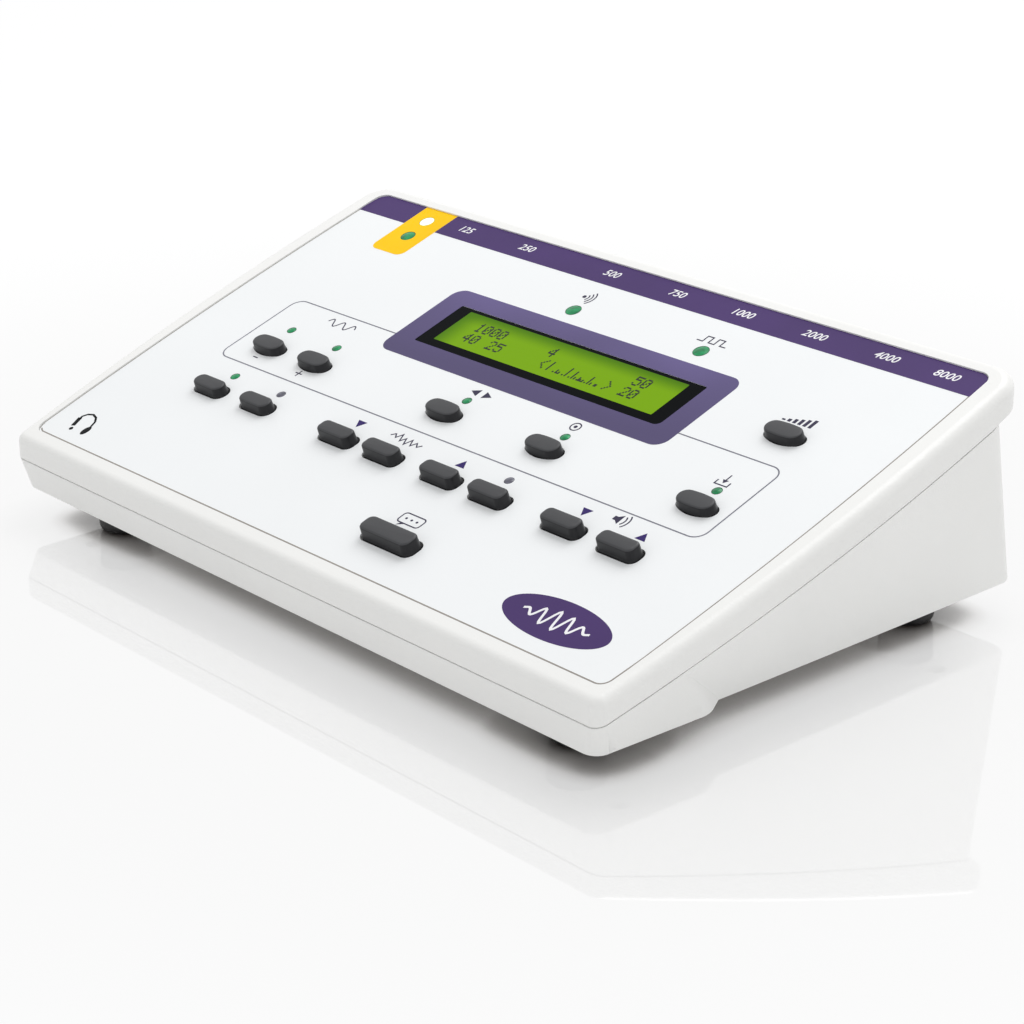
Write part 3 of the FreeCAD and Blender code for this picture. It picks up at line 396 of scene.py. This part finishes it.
def rounded_rectangle(u, v, corners):
    """Loop of a rectangle; corners are its radii at front left, front right, rear right, rear left."""
    front = [(u[0], v[0], 1, 1, 180), (u[1], v[0], -1, 1, 270)]
    rear = [(u[1], v[1], -1, -1, 0), (u[0], v[1], 1, -1, 90)]
    points = []
    for (x, y, sx, sy, start), radius in zip(front + rear, corners):
        if radius == 0:
            points.append((x, y))
        else:
            points += arc_points((x + sx * radius, y + sy * radius), radius, start, start + 90)
    return points


def stroke_loops(points, width, closed=False):
    """Outline of a line of even width through points, with mitred corners."""
    count = len(points)
    left, right = [], []
    for k, (x, y) in enumerate(points):
        before = points[k - 1] if k or closed else None
        after = points[(k + 1) % count] if k + 1 < count or closed else None
        into = Vector((x - before[0], y - before[1])).normalized() if before else None
        out = Vector((after[0] - x, after[1] - y)).normalized() if after else None
        into, out = into or out, out or into
        mean = (into + out).normalized()
        reach = width / 2 / max(mean.dot(out), mitre_limit)
        side = Vector((-mean.y, mean.x)) * reach
        left.append((x + side.x, y + side.y))
        right.append((x - side.x, y - side.y))
    if closed:
        return [left, right]
    return [left + right[::-1]]


def ring(centre, radius, width):
    """Loops of a flat ring with a given inner radius."""
    return [circle(centre, radius + width), circle(centre, radius)]


def shifted(loops, place):
    """Loops moved to a place."""
    return [[(x + place[0], y + place[1]) for x, y in loop] for loop in loops]


def sheet_half(v):
    """Half width of the bowed sheet at a distance from its front edge: a curve through three."""
    front, middle, rear = sheet_half_widths
    t = v / sheet_length
    return front * (1 - t) * (1 - 2 * t) + 4 * middle * t * (1 - t) + rear * t * (2 * t - 1)


def side_points(start, end, inset, steps=16):
    """Points along the sheet's right side, from one depth to another."""
    depths = [start + (end - start) * k / steps for k in range(steps + 1)]
    return [(sheet_half(v) - inset, v) for v in depths]


# ---- prints on the deck --------------------------------------------------------------------------
def print_mesh(loops, level, rise):
    """Mesh of a thin flat print. Loops inside another loop are holes in it."""
    curve = bpy.data.curves.new("loops", "CURVE")
    curve.dimensions = "2D"
    curve.fill_mode = "BOTH"
    curve.extrude = (rise + print_sink) / 2
    for loop in loops:
        spline = curve.splines.new("POLY")
        spline.points.add(len(loop) - 1)
        for point, (x, y) in zip(spline.points, loop):
            point.co = (x, y, 0, 1)
        spline.use_cyclic_u = True
    lift = Matrix.Translation((0, 0, level + (rise - print_sink) / 2))
    return curve_mesh(curve, to_deck @ lift)


def text_mesh(text, place, height, rise):
    """Mesh of a printed number, centred on a deck place."""
    curve = bpy.data.curves.new("text", "FONT")
    curve.body = text
    curve.size = height
    curve.shear = number_slant
    curve.align_x = "CENTER"
    curve.align_y = "CENTER"
    curve.resolution_u = 3
    curve.offset = number_weight
    curve.extrude = (rise + print_sink) / 2
    lift = Matrix.Translation((place[0], place[1], (rise - print_sink) / 2))
    return curve_mesh(curve, to_deck @ lift)


def printed_piece(name, groups, material, level=0.0, rise=print_rise):
    """One print made of groups of loops; holes belong to their own group."""
    meshes = [print_mesh(loops, level, rise) for loops in groups]
    return add_object(name, joined(name, meshes, material))


def lamp_places(node):
    """Deck places of a node's separate lamps, from the loose parts of its mesh."""
    bm = bmesh.new()
    bm.from_mesh(frame["nodes"][node].data)
    bmesh.ops.remove_doubles(bm, verts=bm.verts, dist=weld_distance * MM)
    unseen = set(bm.verts)
    places = []
    while unseen:
        stack = [unseen.pop()]
        top = []
        while stack:
            vert = stack.pop()
            spot = from_deck @ vert.co
            if spot.z > 0:
                top.append(spot)
            near = {other for edge in vert.link_edges for other in edge.verts} & unseen
            unseen -= near
            stack += near
        places.append((sum(s.x for s in top) / len(top), sum(s.y for s in top) / len(top)))
    bm.free()
    return sorted(places)


def edge_line():
    """Painted shadow of the gap where the sheet meets the rim, a thin dark line, and a white line of
    painted light over the rear gap that hides its shadow.

    In front and to the right the rim stands before the sheet's edge, so the line lies further in.
    """
    half = sheet_half(0) - sheet_corner
    rear = sheet_length - sheet_corner
    inner = sheet_corner - edge_hidden
    near = arc_points((-half, sheet_corner), inner, 225, 270)
    near += arc_points((half, sheet_corner), inner, 270, 360)
    near += side_points(sheet_corner, rear, edge_hidden)[1:]
    far = [(-u, v) for u, v in reversed(side_points(sheet_corner, rear, 0))]
    far += arc_points((-half, sheet_corner), sheet_corner, 180, 225)[1:]
    groups = [stroke_loops(near, edge_near), stroke_loops(far, edge_far)]
    printed_piece("painted_gap_shadow", groups, gap_shadow_ink, rise=edge_rise)
    # white line over the rear gap: painted light that hides the gap's shadow
    end = sheet_half(sheet_length) - sheet_corner
    rear_gap_light = stroke_loops([(-end, sheet_length), (end, sheet_length)], rear_gap_light_width)
    printed_piece("rear_gap_painted_light", [rear_gap_light], white_print_and_gap_light, rise=edge_rise)


def strip_and_label():
    """Purple strip along the rear edge, broken by the yellow label with its two lamps."""
    corner_v = sheet_length - sheet_corner
    back = sheet_length + strip_overlap
    end = side_points(strip_front, corner_v, -strip_overlap, steps=4)[:-1]
    centre = (sheet_half(sheet_length) - sheet_corner, corner_v)
    end += arc_points(centre, sheet_corner + strip_overlap, 0, 90)
    left = [(label_u[0], strip_front), (label_u[0], back)] + [(-u, v) for u, v in reversed(end)]
    right = [(label_u[1], strip_front)] + end + [(label_u[1], back)]
    printed_piece("print_strip", [[left], [right]], strip_ink)
    label = rounded_rectangle(label_u, (label_front, back), (label_corner, label_corner, 0, 0))
    holes = [circle(place, large_lamp) for place in label_lamps]
    printed_piece("print_label", [[label] + holes], label_ink)


def lamp_rings():
    """Dark rings around the lamps."""
    groups = [ring(place, small_lamp, lamp_ring) for place in small_lamps]
    groups += [ring(place, large_lamp, lamp_ring) for place in large_lamps + power_lamps]
    printed_piece("print_lamp_rings", groups, ring_ink, rise=print_rise + ring_lift)


small_lamps = lamp_places("green_lamps")
large_lamps = lamp_places("large_lamps")
power_lamps = lamp_places("power_lamp")
label_lamps = power_lamps + [place for place in large_lamps if label_u[0] < place[0] < label_u[1]]

# ---- the display's dot characters ----------------------------------------------------------------
dot_pitch = (0.57, 0.64)       # the square dots touch
character_pitch = 3.4
line_middles = (106.6, 100.9)  # of the upper and the lower line
dots = {
    "0": (".###.", "#...#", "#..##", "#.#.#", "##..#", "#...#", ".###."),
    "1": ("..#..", ".##..", "..#..", "..#..", "..#..", "..#..", ".###."),
    "2": (".###.", "#...#", "....#", "...#.", "..#..", ".#...", "#####"),
    "4": ("...#.", "..##.", ".#.#.", "#..#.", "#####", "...#.", "...#."),
    "5": ("#####", "#....", "####.", "....#", "....#", "#...#", ".###."),
    "<": ("...#.", "..#..", ".#...", "#....", ".#...", "..#..", "...#."),
    ">": (".#...", "..#..", "...#.", "....#", "...#.", "..#..", ".#..."),
    "|": (".#...", ".#...", ".#...", ".#...", ".#...", ".#...", ".#..."),
    ".": (".....", ".....", ".....", ".....", ".....", ".##..", ".##.."),
    "a": (".....", ".....", ".....", ".....", "..#..", "..#.#", "#.###"),
    "b": ("...#.", "...#.", "...#.", "...#.", "...#.", "...#.", ".#.#."),
    "c": (".....", "..#..", "..#..", "..#..", "..#..", "..#.#", "#.#.#"),
    "d": (".....", ".....", ".....", ".....", ".#...", ".##.#", "#####"),
}
display_texts = (              # line, left edge, characters; a to d are steps of the level scale
    (0, -33.2, "1000"),
    (1, -33.2, "40"),
    (1, -22.2, "25"),
    (0, -0.4, "4"),
    (1, 1.6, "<|abcdc.>"),
    (0, 36.0, "50"),
    (1, 36.0, "20"),
)


def character_loops(pattern, u, v):
    """Square dots of one character; u is its left edge and v its middle."""
    wide, high = dot_pitch
    top = v + len(pattern) * high / 2
    loops = []
    for row, line in enumerate(pattern):
        for column, mark in enumerate(line):
            if mark == "#":
                x = u + column * wide
                y = top - (row + 1) * high
                loops.append([(x, y), (x + wide, y), (x + wide, y + high), (x, y + high)])
    return loops


def display_prints():
    """Purple bezel print, black window edge, green field and what it shows."""
    low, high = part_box("display_window")
    front = from_deck @ low
    rear = from_deck @ high
    inner = rounded_rectangle((low.x / MM, high.x / MM), (front.y, rear.y), window_corners)
    outer = rounded_rectangle(bezel_u, bezel_v, (bezel_corner,) * 4)
    printed_piece("print_bezel", [[outer, inner]], bezel_ink_painted_sheen)
    field = rounded_rectangle(field_u, field_v, (field_corner,) * 4)
    piece = printed_piece("display_field", [[field]], field_green, rise=field_rise)
    add_field_uv(piece.data)
    loops = []
    for line, u, text in display_texts:
        for k, letter in enumerate(text):
            loops += character_loops(dots[letter], u + k * character_pitch, line_middles[line])
    printed_piece(
        "display_characters", [loops], segment_ink, level=field_rise, rise=field_rise)


def add_field_uv(mesh):
    """UV map that runs from 0 to 1 across the green field."""
    layer = mesh.uv_layers.new(name="field")
    for loop in mesh.loops:
        spot = from_deck @ mesh.vertices[loop.vertex_index].co
        u = (spot.x - field_u[0]) / (field_u[1] - field_u[0])
        v = (spot.y - field_v[0]) / (field_v[1] - field_v[0])
        layer.data[loop.index].uv = (u, v)


def panel_rule():
    """Thin grey rule around the upper keys; it stops at the bezel."""
    loop = rounded_rectangle(panel_u, panel_v, (panel_corner,) * 4)
    rear_left = len(loop) * 3 // 4    # where the last of the four corners starts
    path = [(bezel_u[0], panel_v[1])] + loop[rear_left:] + loop[:rear_left] + [(bezel_u[1], panel_v[1])]
    printed_piece("print_rule", [stroke_loops(path, rule_width)], rule_ink)


# ---- symbols and numbers -------------------------------------------------------------------------
def wave(length, height, periods, steps=40):
    """Sine wave, centred."""
    points = []
    for k in range(steps + 1):
        t = k / steps
        points.append(((t - 0.5) * length, height / 2 * math.sin(t * periods * 2 * math.pi)))
    return [stroke_loops(points, stroke)]


def noise_symbol(length, heights):
    """Zigzag of uneven height."""
    step = length / (len(heights) - 1)
    points = [(k * step - length / 2, h * (1 if k % 2 else -1)) for k, h in enumerate(heights)]
    return [stroke_loops(points, stroke)]


def pulses(length, height, levels=(0, 1, 0, 1, 0)):
    """Two square pulses."""
    step = length / len(levels)
    points = []
    for k, level in enumerate(levels):
        y = (level - 0.5) * height
        points += [(k * step - length / 2, y), ((k + 1) * step - length / 2, y)]
    return [stroke_loops(points, stroke)]


def bars(count, pitch, width, height):
    """Bars that rise to the right."""
    groups = []
    for k in range(count):
        x = (k - (count - 1) / 2) * pitch
        top = height * (k + 1) / count - height / 2
        groups.append([rounded_rectangle((x - width / 2, x + width / 2), (-height / 2, top), (0,) * 4)])
    return groups


def dot(radius, u=0.0, steps=24):
    """Small round dot."""
    return [circle((u, 0), radius, steps)]


def sound_arcs(source, spread, radii):
    """Arcs that spread to the right from a source, over an angle to each side."""
    return [stroke_loops(arc_points((source, 0), radius, -spread, spread), stroke) for radius in radii]


def store_symbol(size):
    """Arrow that points down into a tray."""
    half = size / 2
    lip = -0.2 * half
    stem_top = 1.1 * half
    head = 0.45 * half
    tip = -0.6 * half
    shoulder = 0.1
    thin = stroke / 2
    tray = stroke_loops([(-half, lip), (-half, -half), (half, -half), (half, lip)], stroke)
    stem = [[(-thin, 0), (thin, 0), (thin, stem_top), (-thin, stem_top)]]
    arrow = [[(-head, shoulder), (0, tip), (head, shoulder)]]
    return [tray, stem, arrow]


def speech_symbol(length, height, corner, dot_radius):
    """Speech bubble with a tail and three dots."""
    outline = rounded_rectangle((-length / 2, length / 2), (-height / 2, height / 2), (corner,) * 4)
    root = (-length / 4, -height / 2 - 0.1)
    tail = [root, (root[0] - 0.9, root[1] - 1.4), (root[0] + 1.5, root[1])]
    words = [dot(dot_radius, k * length / 4, steps=20) for k in (-1, 0, 1)]
    return [stroke_loops(outline, stroke, closed=True), [tail]] + words


def loudspeaker(throat, mouth):
    """Loudspeaker box with its horn, half heights at the throat and the mouth."""
    upper = [(-0.7, mouth), (-2.2, throat), (-3.4, throat)]
    return [[[(u, -v) for u, v in reversed(upper)] + upper]]


def target(radius, dot_radius):
    """Ring with a dot in it."""
    return [ring((0, 0), radius, stroke), dot(dot_radius)]


def arrows_apart(gap, size):
    """Two solid arrowheads that point left and right."""
    right = [(gap / 2, -size / 2), (gap / 2 + size, 0), (gap / 2, size / 2)]
    return [[right], [[(-x, y) for x, y in reversed(right)]]]


def triangle(half, height, up):
    """Solid triangle that points to the rear or to the front."""
    sign = 1 if up else -1
    return [[[(-half, -sign * height / 2), (half, -sign * height / 2), (0, sign * height / 2)]]]


def plus_minus(arm, plus):
    """A plus or a minus sign."""
    half = stroke / 2
    if not plus:
        return [[[(-arm, -half), (arm, -half), (arm, half), (-arm, half)]]]
    cross = [(-arm, -half), (-half, -half), (-half, -arm), (half, -arm), (half, -half), (arm, -half)]
    return [[cross + [(-x, -y) for x, y in cross]]]


def placed_groups(items):
    """Groups of loops moved to their deck places."""
    return [shifted(group, place) for place, groups in items for group in groups]


def deck_symbols():
    """Plain symbols beside the keys and lamps."""
    noise_heights = (0.2, 1.0, 0.5, 1.7, 1.2, 0.6, 1.9, 0.9, 1.5, 0.4, 1.1, 0.2)
    loudspeaker_place = (82.6, 54.2)
    sound_place = (-13.0, 134.2)
    legends = [
        ((-78.1, 87.6), wave(length=13.0, height=3.2, periods=2.5)),
        (sound_place, [dot(radius=0.7)]),
        (sound_place, sound_arcs(source=0, spread=48, radii=(1.7, 2.9, 4.1))),
        ((43.9, 132.6), pulses(length=11.5, height=2.8)),
        ((-3.2, 80.4), arrows_apart(gap=2.4, size=3.2)),
        ((36.9, 81.0), target(radius=1.5, dot_radius=0.62)),
        ((95.6, 112.6), bars(count=6, pitch=1.9, width=1.15, height=3.8)),
        ((96.0, 81.4), store_symbol(size=4.6)),
        ((-6.5, 52.6), noise_symbol(length=14.0, heights=noise_heights)),
        (loudspeaker_place, loudspeaker(throat=0.8, mouth=2.0)),
        (loudspeaker_place, sound_arcs(source=-1.6, spread=42, radii=(2.5, 3.8))),
        ((26.2, 25.6), speech_symbol(length=9.0, height=4.2, corner=1.2, dot_radius=0.42)),
        ((-91.3, 61.9), plus_minus(arm=1.15, plus=False)),
        ((-69.2, 62.0), plus_minus(arm=1.5, plus=True)),
    ]
    printed_piece("print_legends", placed_groups(legends), legend_ink)
    down = triangle(half=1.9, height=3.2, up=False)
    up = triangle(half=1.9, height=3.2, up=True)
    triangles = [((-27.3, 51.7), down), ((19.2, 52.1), up), ((69.9, 52.0), down), ((93.1, 51.6), up)]
    printed_piece("print_triangles", placed_groups(triangles), symbol_ink)


def headset_symbol():
    """Black headset: band, two cups and a microphone."""
    band = [(-119.2, 10.0), (-119.9, 12.2), (-118.9, 13.8), (-116.9, 14.6), (-114.5, 13.9)]
    band += [(-112.7, 12.2), (-111.7, 9.6)]
    small_cup = [(-120.6, 11.2), (-119.1, 11.7), (-117.7, 7.7), (-119.1, 7.1)]
    large_cup = ellipse((-111.5, 7.6), (1.25, 2.2))
    microphone = circle((-117.6, 6.1), radius=0.75, steps=20)
    groups = [stroke_loops(band, headset_stroke), [small_cup], [large_cup], [microphone]]
    printed_piece("print_headset", groups, black_ink)


def strip_numbers():
    """White numbers along the purple strip: the test tones in hertz."""
    middle = (strip_front + sheet_length) / 2 + number_offset
    tones = (125, 250, 500, 750, 1000, 2000, 4000, 8000)
    places = (-83.2, -53.5, -14.2, 14.4, 41.6, 70.2, 97.4, 119.2)
    meshes = []
    for tone, u in zip(tones, places):
        meshes.append(text_mesh(str(tone), (u, middle), number_height, print_rise + white_lift))
    add_object("print_numbers", joined("print_numbers", meshes, white_print_and_gap_light))


def oval_badge(steps=60):
    """Purple oval with a plain white wave that swells towards its middle."""
    printed_piece("print_oval", [[ellipse(oval_centre, oval_half)]], strip_ink)
    length, half_height, periods = badge_wave
    points = []
    for k in range(steps + 1):
        t = k / steps
        swing = half_height * math.sin(math.pi * t) * math.sin(2 * math.pi * periods * t)
        points.append(((t - 0.5) * length, swing))
    groups = [shifted(stroke_loops(points, badge_stroke), oval_centre)]
    printed_piece("print_wave", groups, white_print_and_gap_light, rise=print_rise + white_lift)


edge_line()
strip_and_label()
lamp_rings()
display_prints()
panel_rule()
deck_symbols()
headset_symbol()
strip_numbers()
oval_badge()

# ---- keys ----------------------------------------------------------------------------------------
key_kinds = {
    "oval": ("frequency_down", "frequency_up", "channel", "response", "store", "level"),
    "stadium": ("tone_left", "tone_right"),
    "bar": ("masking_down", "masking_down_fast", "masking_up", "masking_up_fast", "talk_down", "talk_up"),
    "wide_bar": ("speech",),
}
key_end_radius = {"oval": 3.25, "stadium": 2.95, "bar": 2.3, "wide_bar": 2.6}
key_rounding = {"oval": 0.6, "stadium": 0.7, "bar": 0.75, "wide_bar": 0.75}
key_gain = {"oval": 0.0, "stadium": 0.2, "bar": 0.35, "wide_bar": 0.2}    # height over the node's
key_foot_inset = 0.24          # foot inside the node's own outline
key_sink = 3.0                 # the cap goes this far down its hole
key_flare = ((0.0, 0.0), (0.16, 0.12), (0.40, 0.21), (0.75, 0.26))    # height above the sheet, inset
key_draft = 0.10               # how far the sides lean in
key_crown = 0.10               # rise of the top's middle
key_crown_ring = (0.7, 0.7)    # share of that rise at the last ring, and the ring's inset
key_top_share = 0.45           # the top's finish, with its painted light, starts this share of the rounding below it
key_arc_steps = 7
face_slack = 0.01              # what lies lower than this under the sheet's face is hidden


def key_outline(kind, half, inset, steps=10):
    """A key's outline, drawn in by an inset: an oval of four arcs, or a bar with round corners."""
    end = key_end_radius[kind]
    a, b = half
    if kind == "oval":
        run = a - end
        side = (run ** 2 + b ** 2 - end ** 2) / (2 * (b - end))
        turn = math.degrees(math.atan2(side - b, run))
        right = arc_points((run, 0), end - inset, -turn, turn, steps)
        rear = arc_points((0, b - side), side - inset, turn, 180 - turn, 2 * steps)[1:-1]
        return right + rear + [(-x, -y) for x, y in right + rear]
    points = []
    for sx, sy, start in ((1, 1, 0), (-1, 1, 90), (-1, -1, 180), (1, -1, 270)):
        points += arc_points((sx * (a - end), sy * (b - end)), end - inset, start, start + 90, steps)
    return points


def key_profile(kind, height):
    """Heights and insets of a key's rings, from its foot to its crown."""
    radius = key_rounding[kind]
    last = key_flare[-1][1] + key_draft
    rings = [(-key_sink, 0.0)] + list(key_flare)
    for k in range(key_arc_steps):
        turn = math.pi / 2 * k / (key_arc_steps - 1)
        rings.append((height - radius * (1 - math.sin(turn)), last + radius * (1 - math.cos(turn))))
    share, inset = key_crown_ring
    rings.append((height + key_crown * share, last + radius + inset))
    return rings


def key_space(name):
    """Middle, half size and height above the sheet of a key node, in deck millimetres."""
    mesh = frame["nodes"]["key_" + name].data
    spots = [from_deck @ vert.co for vert in mesh.vertices]
    spots = [spot for spot in spots if spot.z > -face_slack]
    u = [spot.x for spot in spots]
    v = [spot.y for spot in spots]
    middle = ((min(u) + max(u)) / 2, (min(v) + max(v)) / 2)
    half = ((max(u) - min(u)) / 2, (max(v) - min(v)) / 2)
    return middle, half, max(spot.z for spot in spots)


def key_piece(name, kind):
    """Moulded cap: flared foot, drafted sides, well-rounded top edge and a slightly crowned top."""
    middle, half, height = key_space(name)
    half = (half[0] - key_foot_inset, half[1] - key_foot_inset)
    height += key_gain[kind]
    bm = bmesh.new()
    rings = []
    for rise, inset in key_profile(kind, height):
        outline = key_outline(kind, half, inset)
        verts = [bm.verts.new((middle[0] + x, middle[1] + y, rise)) for x, y in outline]
        rings.append([bm.edges.new((verts[k - 1], verts[k])) for k in range(len(verts))])
    for low_ring, high_ring in zip(rings, rings[1:]):
        bmesh.ops.bridge_loops(bm, edges=low_ring + high_ring)
    bmesh.ops.contextual_create(bm, geom=rings[0])
    crown = bmesh.ops.contextual_create(bm, geom=rings[-1])["faces"]
    for peak in bmesh.ops.poke(bm, faces=crown)["verts"]:
        peak.co.z = height + key_crown
    bmesh.ops.recalc_face_normals(bm, faces=bm.faces)
    top_start = height - key_rounding[kind] * key_top_share
    # the top's faces take the lighter material: its own finish, and painted light from above
    for face in bm.faces:
        face.material_index = int(face.calc_center_median().z > top_start)
    mesh = bpy.data.meshes.new("cap_" + name)
    bm.to_mesh(mesh)
    bm.free()
    mesh.shade_smooth()
    mesh.transform(to_deck)
    mesh.materials.append(key_plastic)
    mesh.materials.append(key_top_finish_and_painted_light)
    piece = add_object("cap_" + name, mesh, body=name + "_key")
    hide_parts("key_" + name)


for kind, names in key_kinds.items():
    for name in names:
        key_piece(name, kind)

# ---- CAD nodes' finishes -------------------------------------------------------------------------
finishes = {
    "top_shell": case_plastic,
    "base_shell": case_plastic,
    "fascia_overlay": sheet_plastic,
    "display_window": window_black,
    "green_lamps": green_lamp,
    "large_lamps": green_lamp,
    "grey_lamps": grey_lamp,
    "power_lamp": lit_lamp,
    "rubber_feet": foot_rubber,
    "jack_nuts": nickel,
    "data_port": steel,
    "board_screws": steel,
    "case_screws": steel,
    "capacitors": steel,
    "key_board": board_mask,
    "lcd_board": board_mask,
    "io_board": board_mask,
}
for node, obj in frame["nodes"].items():
    other = key_plastic if node.startswith("key_") else connector_plastic
    for material_slot in obj.material_slots:
        material_slot.material = finishes.get(node, other)

# ---- camera --------------------------------------------------------------------------------------
camera_from_deck = Vector((570.38, -425.9, 286.11)) * MM    # from the middle of the sheet's front edge
camera_turn = math.radians(48.138)
camera_dip = math.radians(21.305)
camera_data = bpy.data.cameras.new("camera")
camera_data.lens = 95.613
camera_data.sensor_width = 36.0
camera_data.clip_start = 0.05
camera_data.clip_end = 20.0
camera = bpy.data.objects.new("camera", camera_data)
camera.location = deck_origin + camera_from_deck
camera.rotation_euler = (math.pi / 2 - camera_dip, 0, camera_turn)
collection.objects.link(camera)
bpy.context.scene.camera = camera

# ---- floor, world and lamps ----------------------------------------------------------------------
floor_half = 6.0               # half the table top's side, metres
floor_white = (0.92, 0.92, 0.92)
floor_mirror = 0.27            # strongest reflection in the table top
floor_fade = (0.14, 0.46)      # metres from the object's middle over which it fades
mirror_roughness = 0.02
contact_reach = 0.020          # how far the painted contact shadow, the dark line where the object meets the table, spreads, metres
contact_share = 0.88           # how much of the table's white is an even glow, apart from that painted line
contact_samples = 48
painted_shadow_tones = (              # openness of a place on the table and its brightness in the painted shadow
    (0.20, (0.016, 0.013, 0.011)),
    (0.34, (0.24, 0.23, 0.22)),
    (0.45, (0.76, 0.75, 0.745)),
    (0.60, (0.94, 0.94, 0.94)),
    (1.00, (1.0, 1.0, 1.0)),
)


def area_lamp(name, place, aim, side, watts):
    """Square soft lamp that points at a place."""
    data = bpy.data.lights.new(name, "AREA")
    data.shape = "SQUARE"
    data.size = side
    data.energy = watts
    lamp = bpy.data.objects.new(name, data)
    lamp.location = place
    lamp.rotation_euler = (Vector(aim) - Vector(place)).to_track_quat("-Z", "Y").to_euler()
    collection.objects.link(lamp)


def seen_rays(tree, sockets):
    """A node that is 1 for any of the named kinds of ray."""
    path = tree.nodes.new("ShaderNodeLightPath")
    result = path.outputs[sockets[0]]
    for socket in sockets[1:]:
        either = tree.nodes.new("ShaderNodeMath")
        either.operation = "MAXIMUM"
        tree.links.new(result, either.inputs[0])
        tree.links.new(path.outputs[socket], either.inputs[1])
        result = either.outputs[0]
    return result


def add_world(strength):
    """Even pale surroundings, white to the camera and in reflections."""
    world = bpy.data.worlds.new("world")
    bpy.context.scene.world = world
    world.use_nodes = True
    tree = world.node_tree
    back = tree.nodes["Background"]
    seen = seen_rays(tree, ("Is Camera Ray", "Is Glossy Ray", "Is Transmission Ray"))
    mix = tree.nodes.new("ShaderNodeMapRange")
    mix.inputs["To Min"].default_value = strength
    mix.inputs["To Max"].default_value = 1.0
    tree.links.new(seen, mix.inputs["Value"])
    tree.links.new(mix.outputs["Result"], back.inputs["Strength"])
    back.inputs["Color"].default_value = (1, 1, 1, 1)


def floor_material():
    """White table top: a glow that ambient occlusion darkens paints the object's contact shadow, a little
    of its real shadow stays, and it mirrors the object, less and less further away.
    """
    material, shader = new_material("floor_white", floor_white, roughness=1.0, Specular_IOR_Level=0.0)
    tree = material.node_tree
    # painted contact shadow: ambient occlusion darkens the table's glow
    contact = tree.nodes.new("ShaderNodeAmbientOcclusion")
    contact.inputs["Distance"].default_value = contact_reach
    contact.samples = contact_samples
    tones = tree.nodes.new("ShaderNodeValToRGB")
    for _ in painted_shadow_tones[2:]:
        tones.color_ramp.elements.new(0.5)
    for stop, (openness, tone) in zip(tones.color_ramp.elements, painted_shadow_tones):
        stop.position = openness
        stop.color = (*tone, 1)
    tree.links.new(contact.outputs["AO"], tones.inputs["Fac"])
    glow = tree.nodes.new("ShaderNodeEmission")
    tree.links.new(tones.outputs["Color"], glow.inputs["Color"])
    share = tree.nodes.new("ShaderNodeMath")
    share.operation = "MULTIPLY"
    share.inputs[1].default_value = contact_share
    tree.links.new(seen_rays(tree, ("Is Camera Ray", "Is Glossy Ray")), share.inputs[0])
    table = tree.nodes.new("ShaderNodeMixShader")
    tree.links.new(share.outputs[0], table.inputs["Fac"])
    tree.links.new(shader.outputs["BSDF"], table.inputs[1])
    tree.links.new(glow.outputs["Emission"], table.inputs[2])
    mirror = tree.nodes.new("ShaderNodeBsdfGlossy")
    mirror.inputs["Roughness"].default_value = mirror_roughness
    place = tree.nodes.new("ShaderNodeTexCoord")
    length = tree.nodes.new("ShaderNodeVectorMath")
    length.operation = "LENGTH"
    tree.links.new(place.outputs["Object"], length.inputs[0])
    fade = tree.nodes.new("ShaderNodeMapRange")
    fade.interpolation_type = "SMOOTHSTEP"
    fade.inputs["From Min"].default_value = floor_fade[0]
    fade.inputs["From Max"].default_value = floor_fade[1]
    fade.inputs["To Min"].default_value = floor_mirror
    fade.inputs["To Max"].default_value = 0.0
    tree.links.new(length.outputs["Value"], fade.inputs["Value"])
    mix = tree.nodes.new("ShaderNodeMixShader")
    tree.links.new(fade.outputs["Result"], mix.inputs["Fac"])
    tree.links.new(table.outputs["Shader"], mix.inputs[1])
    tree.links.new(mirror.outputs["BSDF"], mix.inputs[2])
    tree.links.new(mix.outputs["Shader"], tree.nodes["Material Output"].inputs["Surface"])
    return material


def add_floor():
    """The table top, which isn't a part of the object."""
    bm = bmesh.new()
    bmesh.ops.create_grid(bm, x_segments=1, y_segments=1, size=floor_half)
    mesh = bpy.data.meshes.new("floor")
    bm.to_mesh(mesh)
    bm.free()
    mesh.materials.append(floor_material())
    floor = bpy.data.objects.new("floor", mesh)
    collection.objects.link(floor)


add_world(strength=0.78)
add_floor()
area_lamp("top_lamp", place=(-0.12, 0.72, 1.45), aim=(0, 0, 0.04), side=1.0, watts=12)
bpy.context.scene.view_settings.view_transform = "Standard"
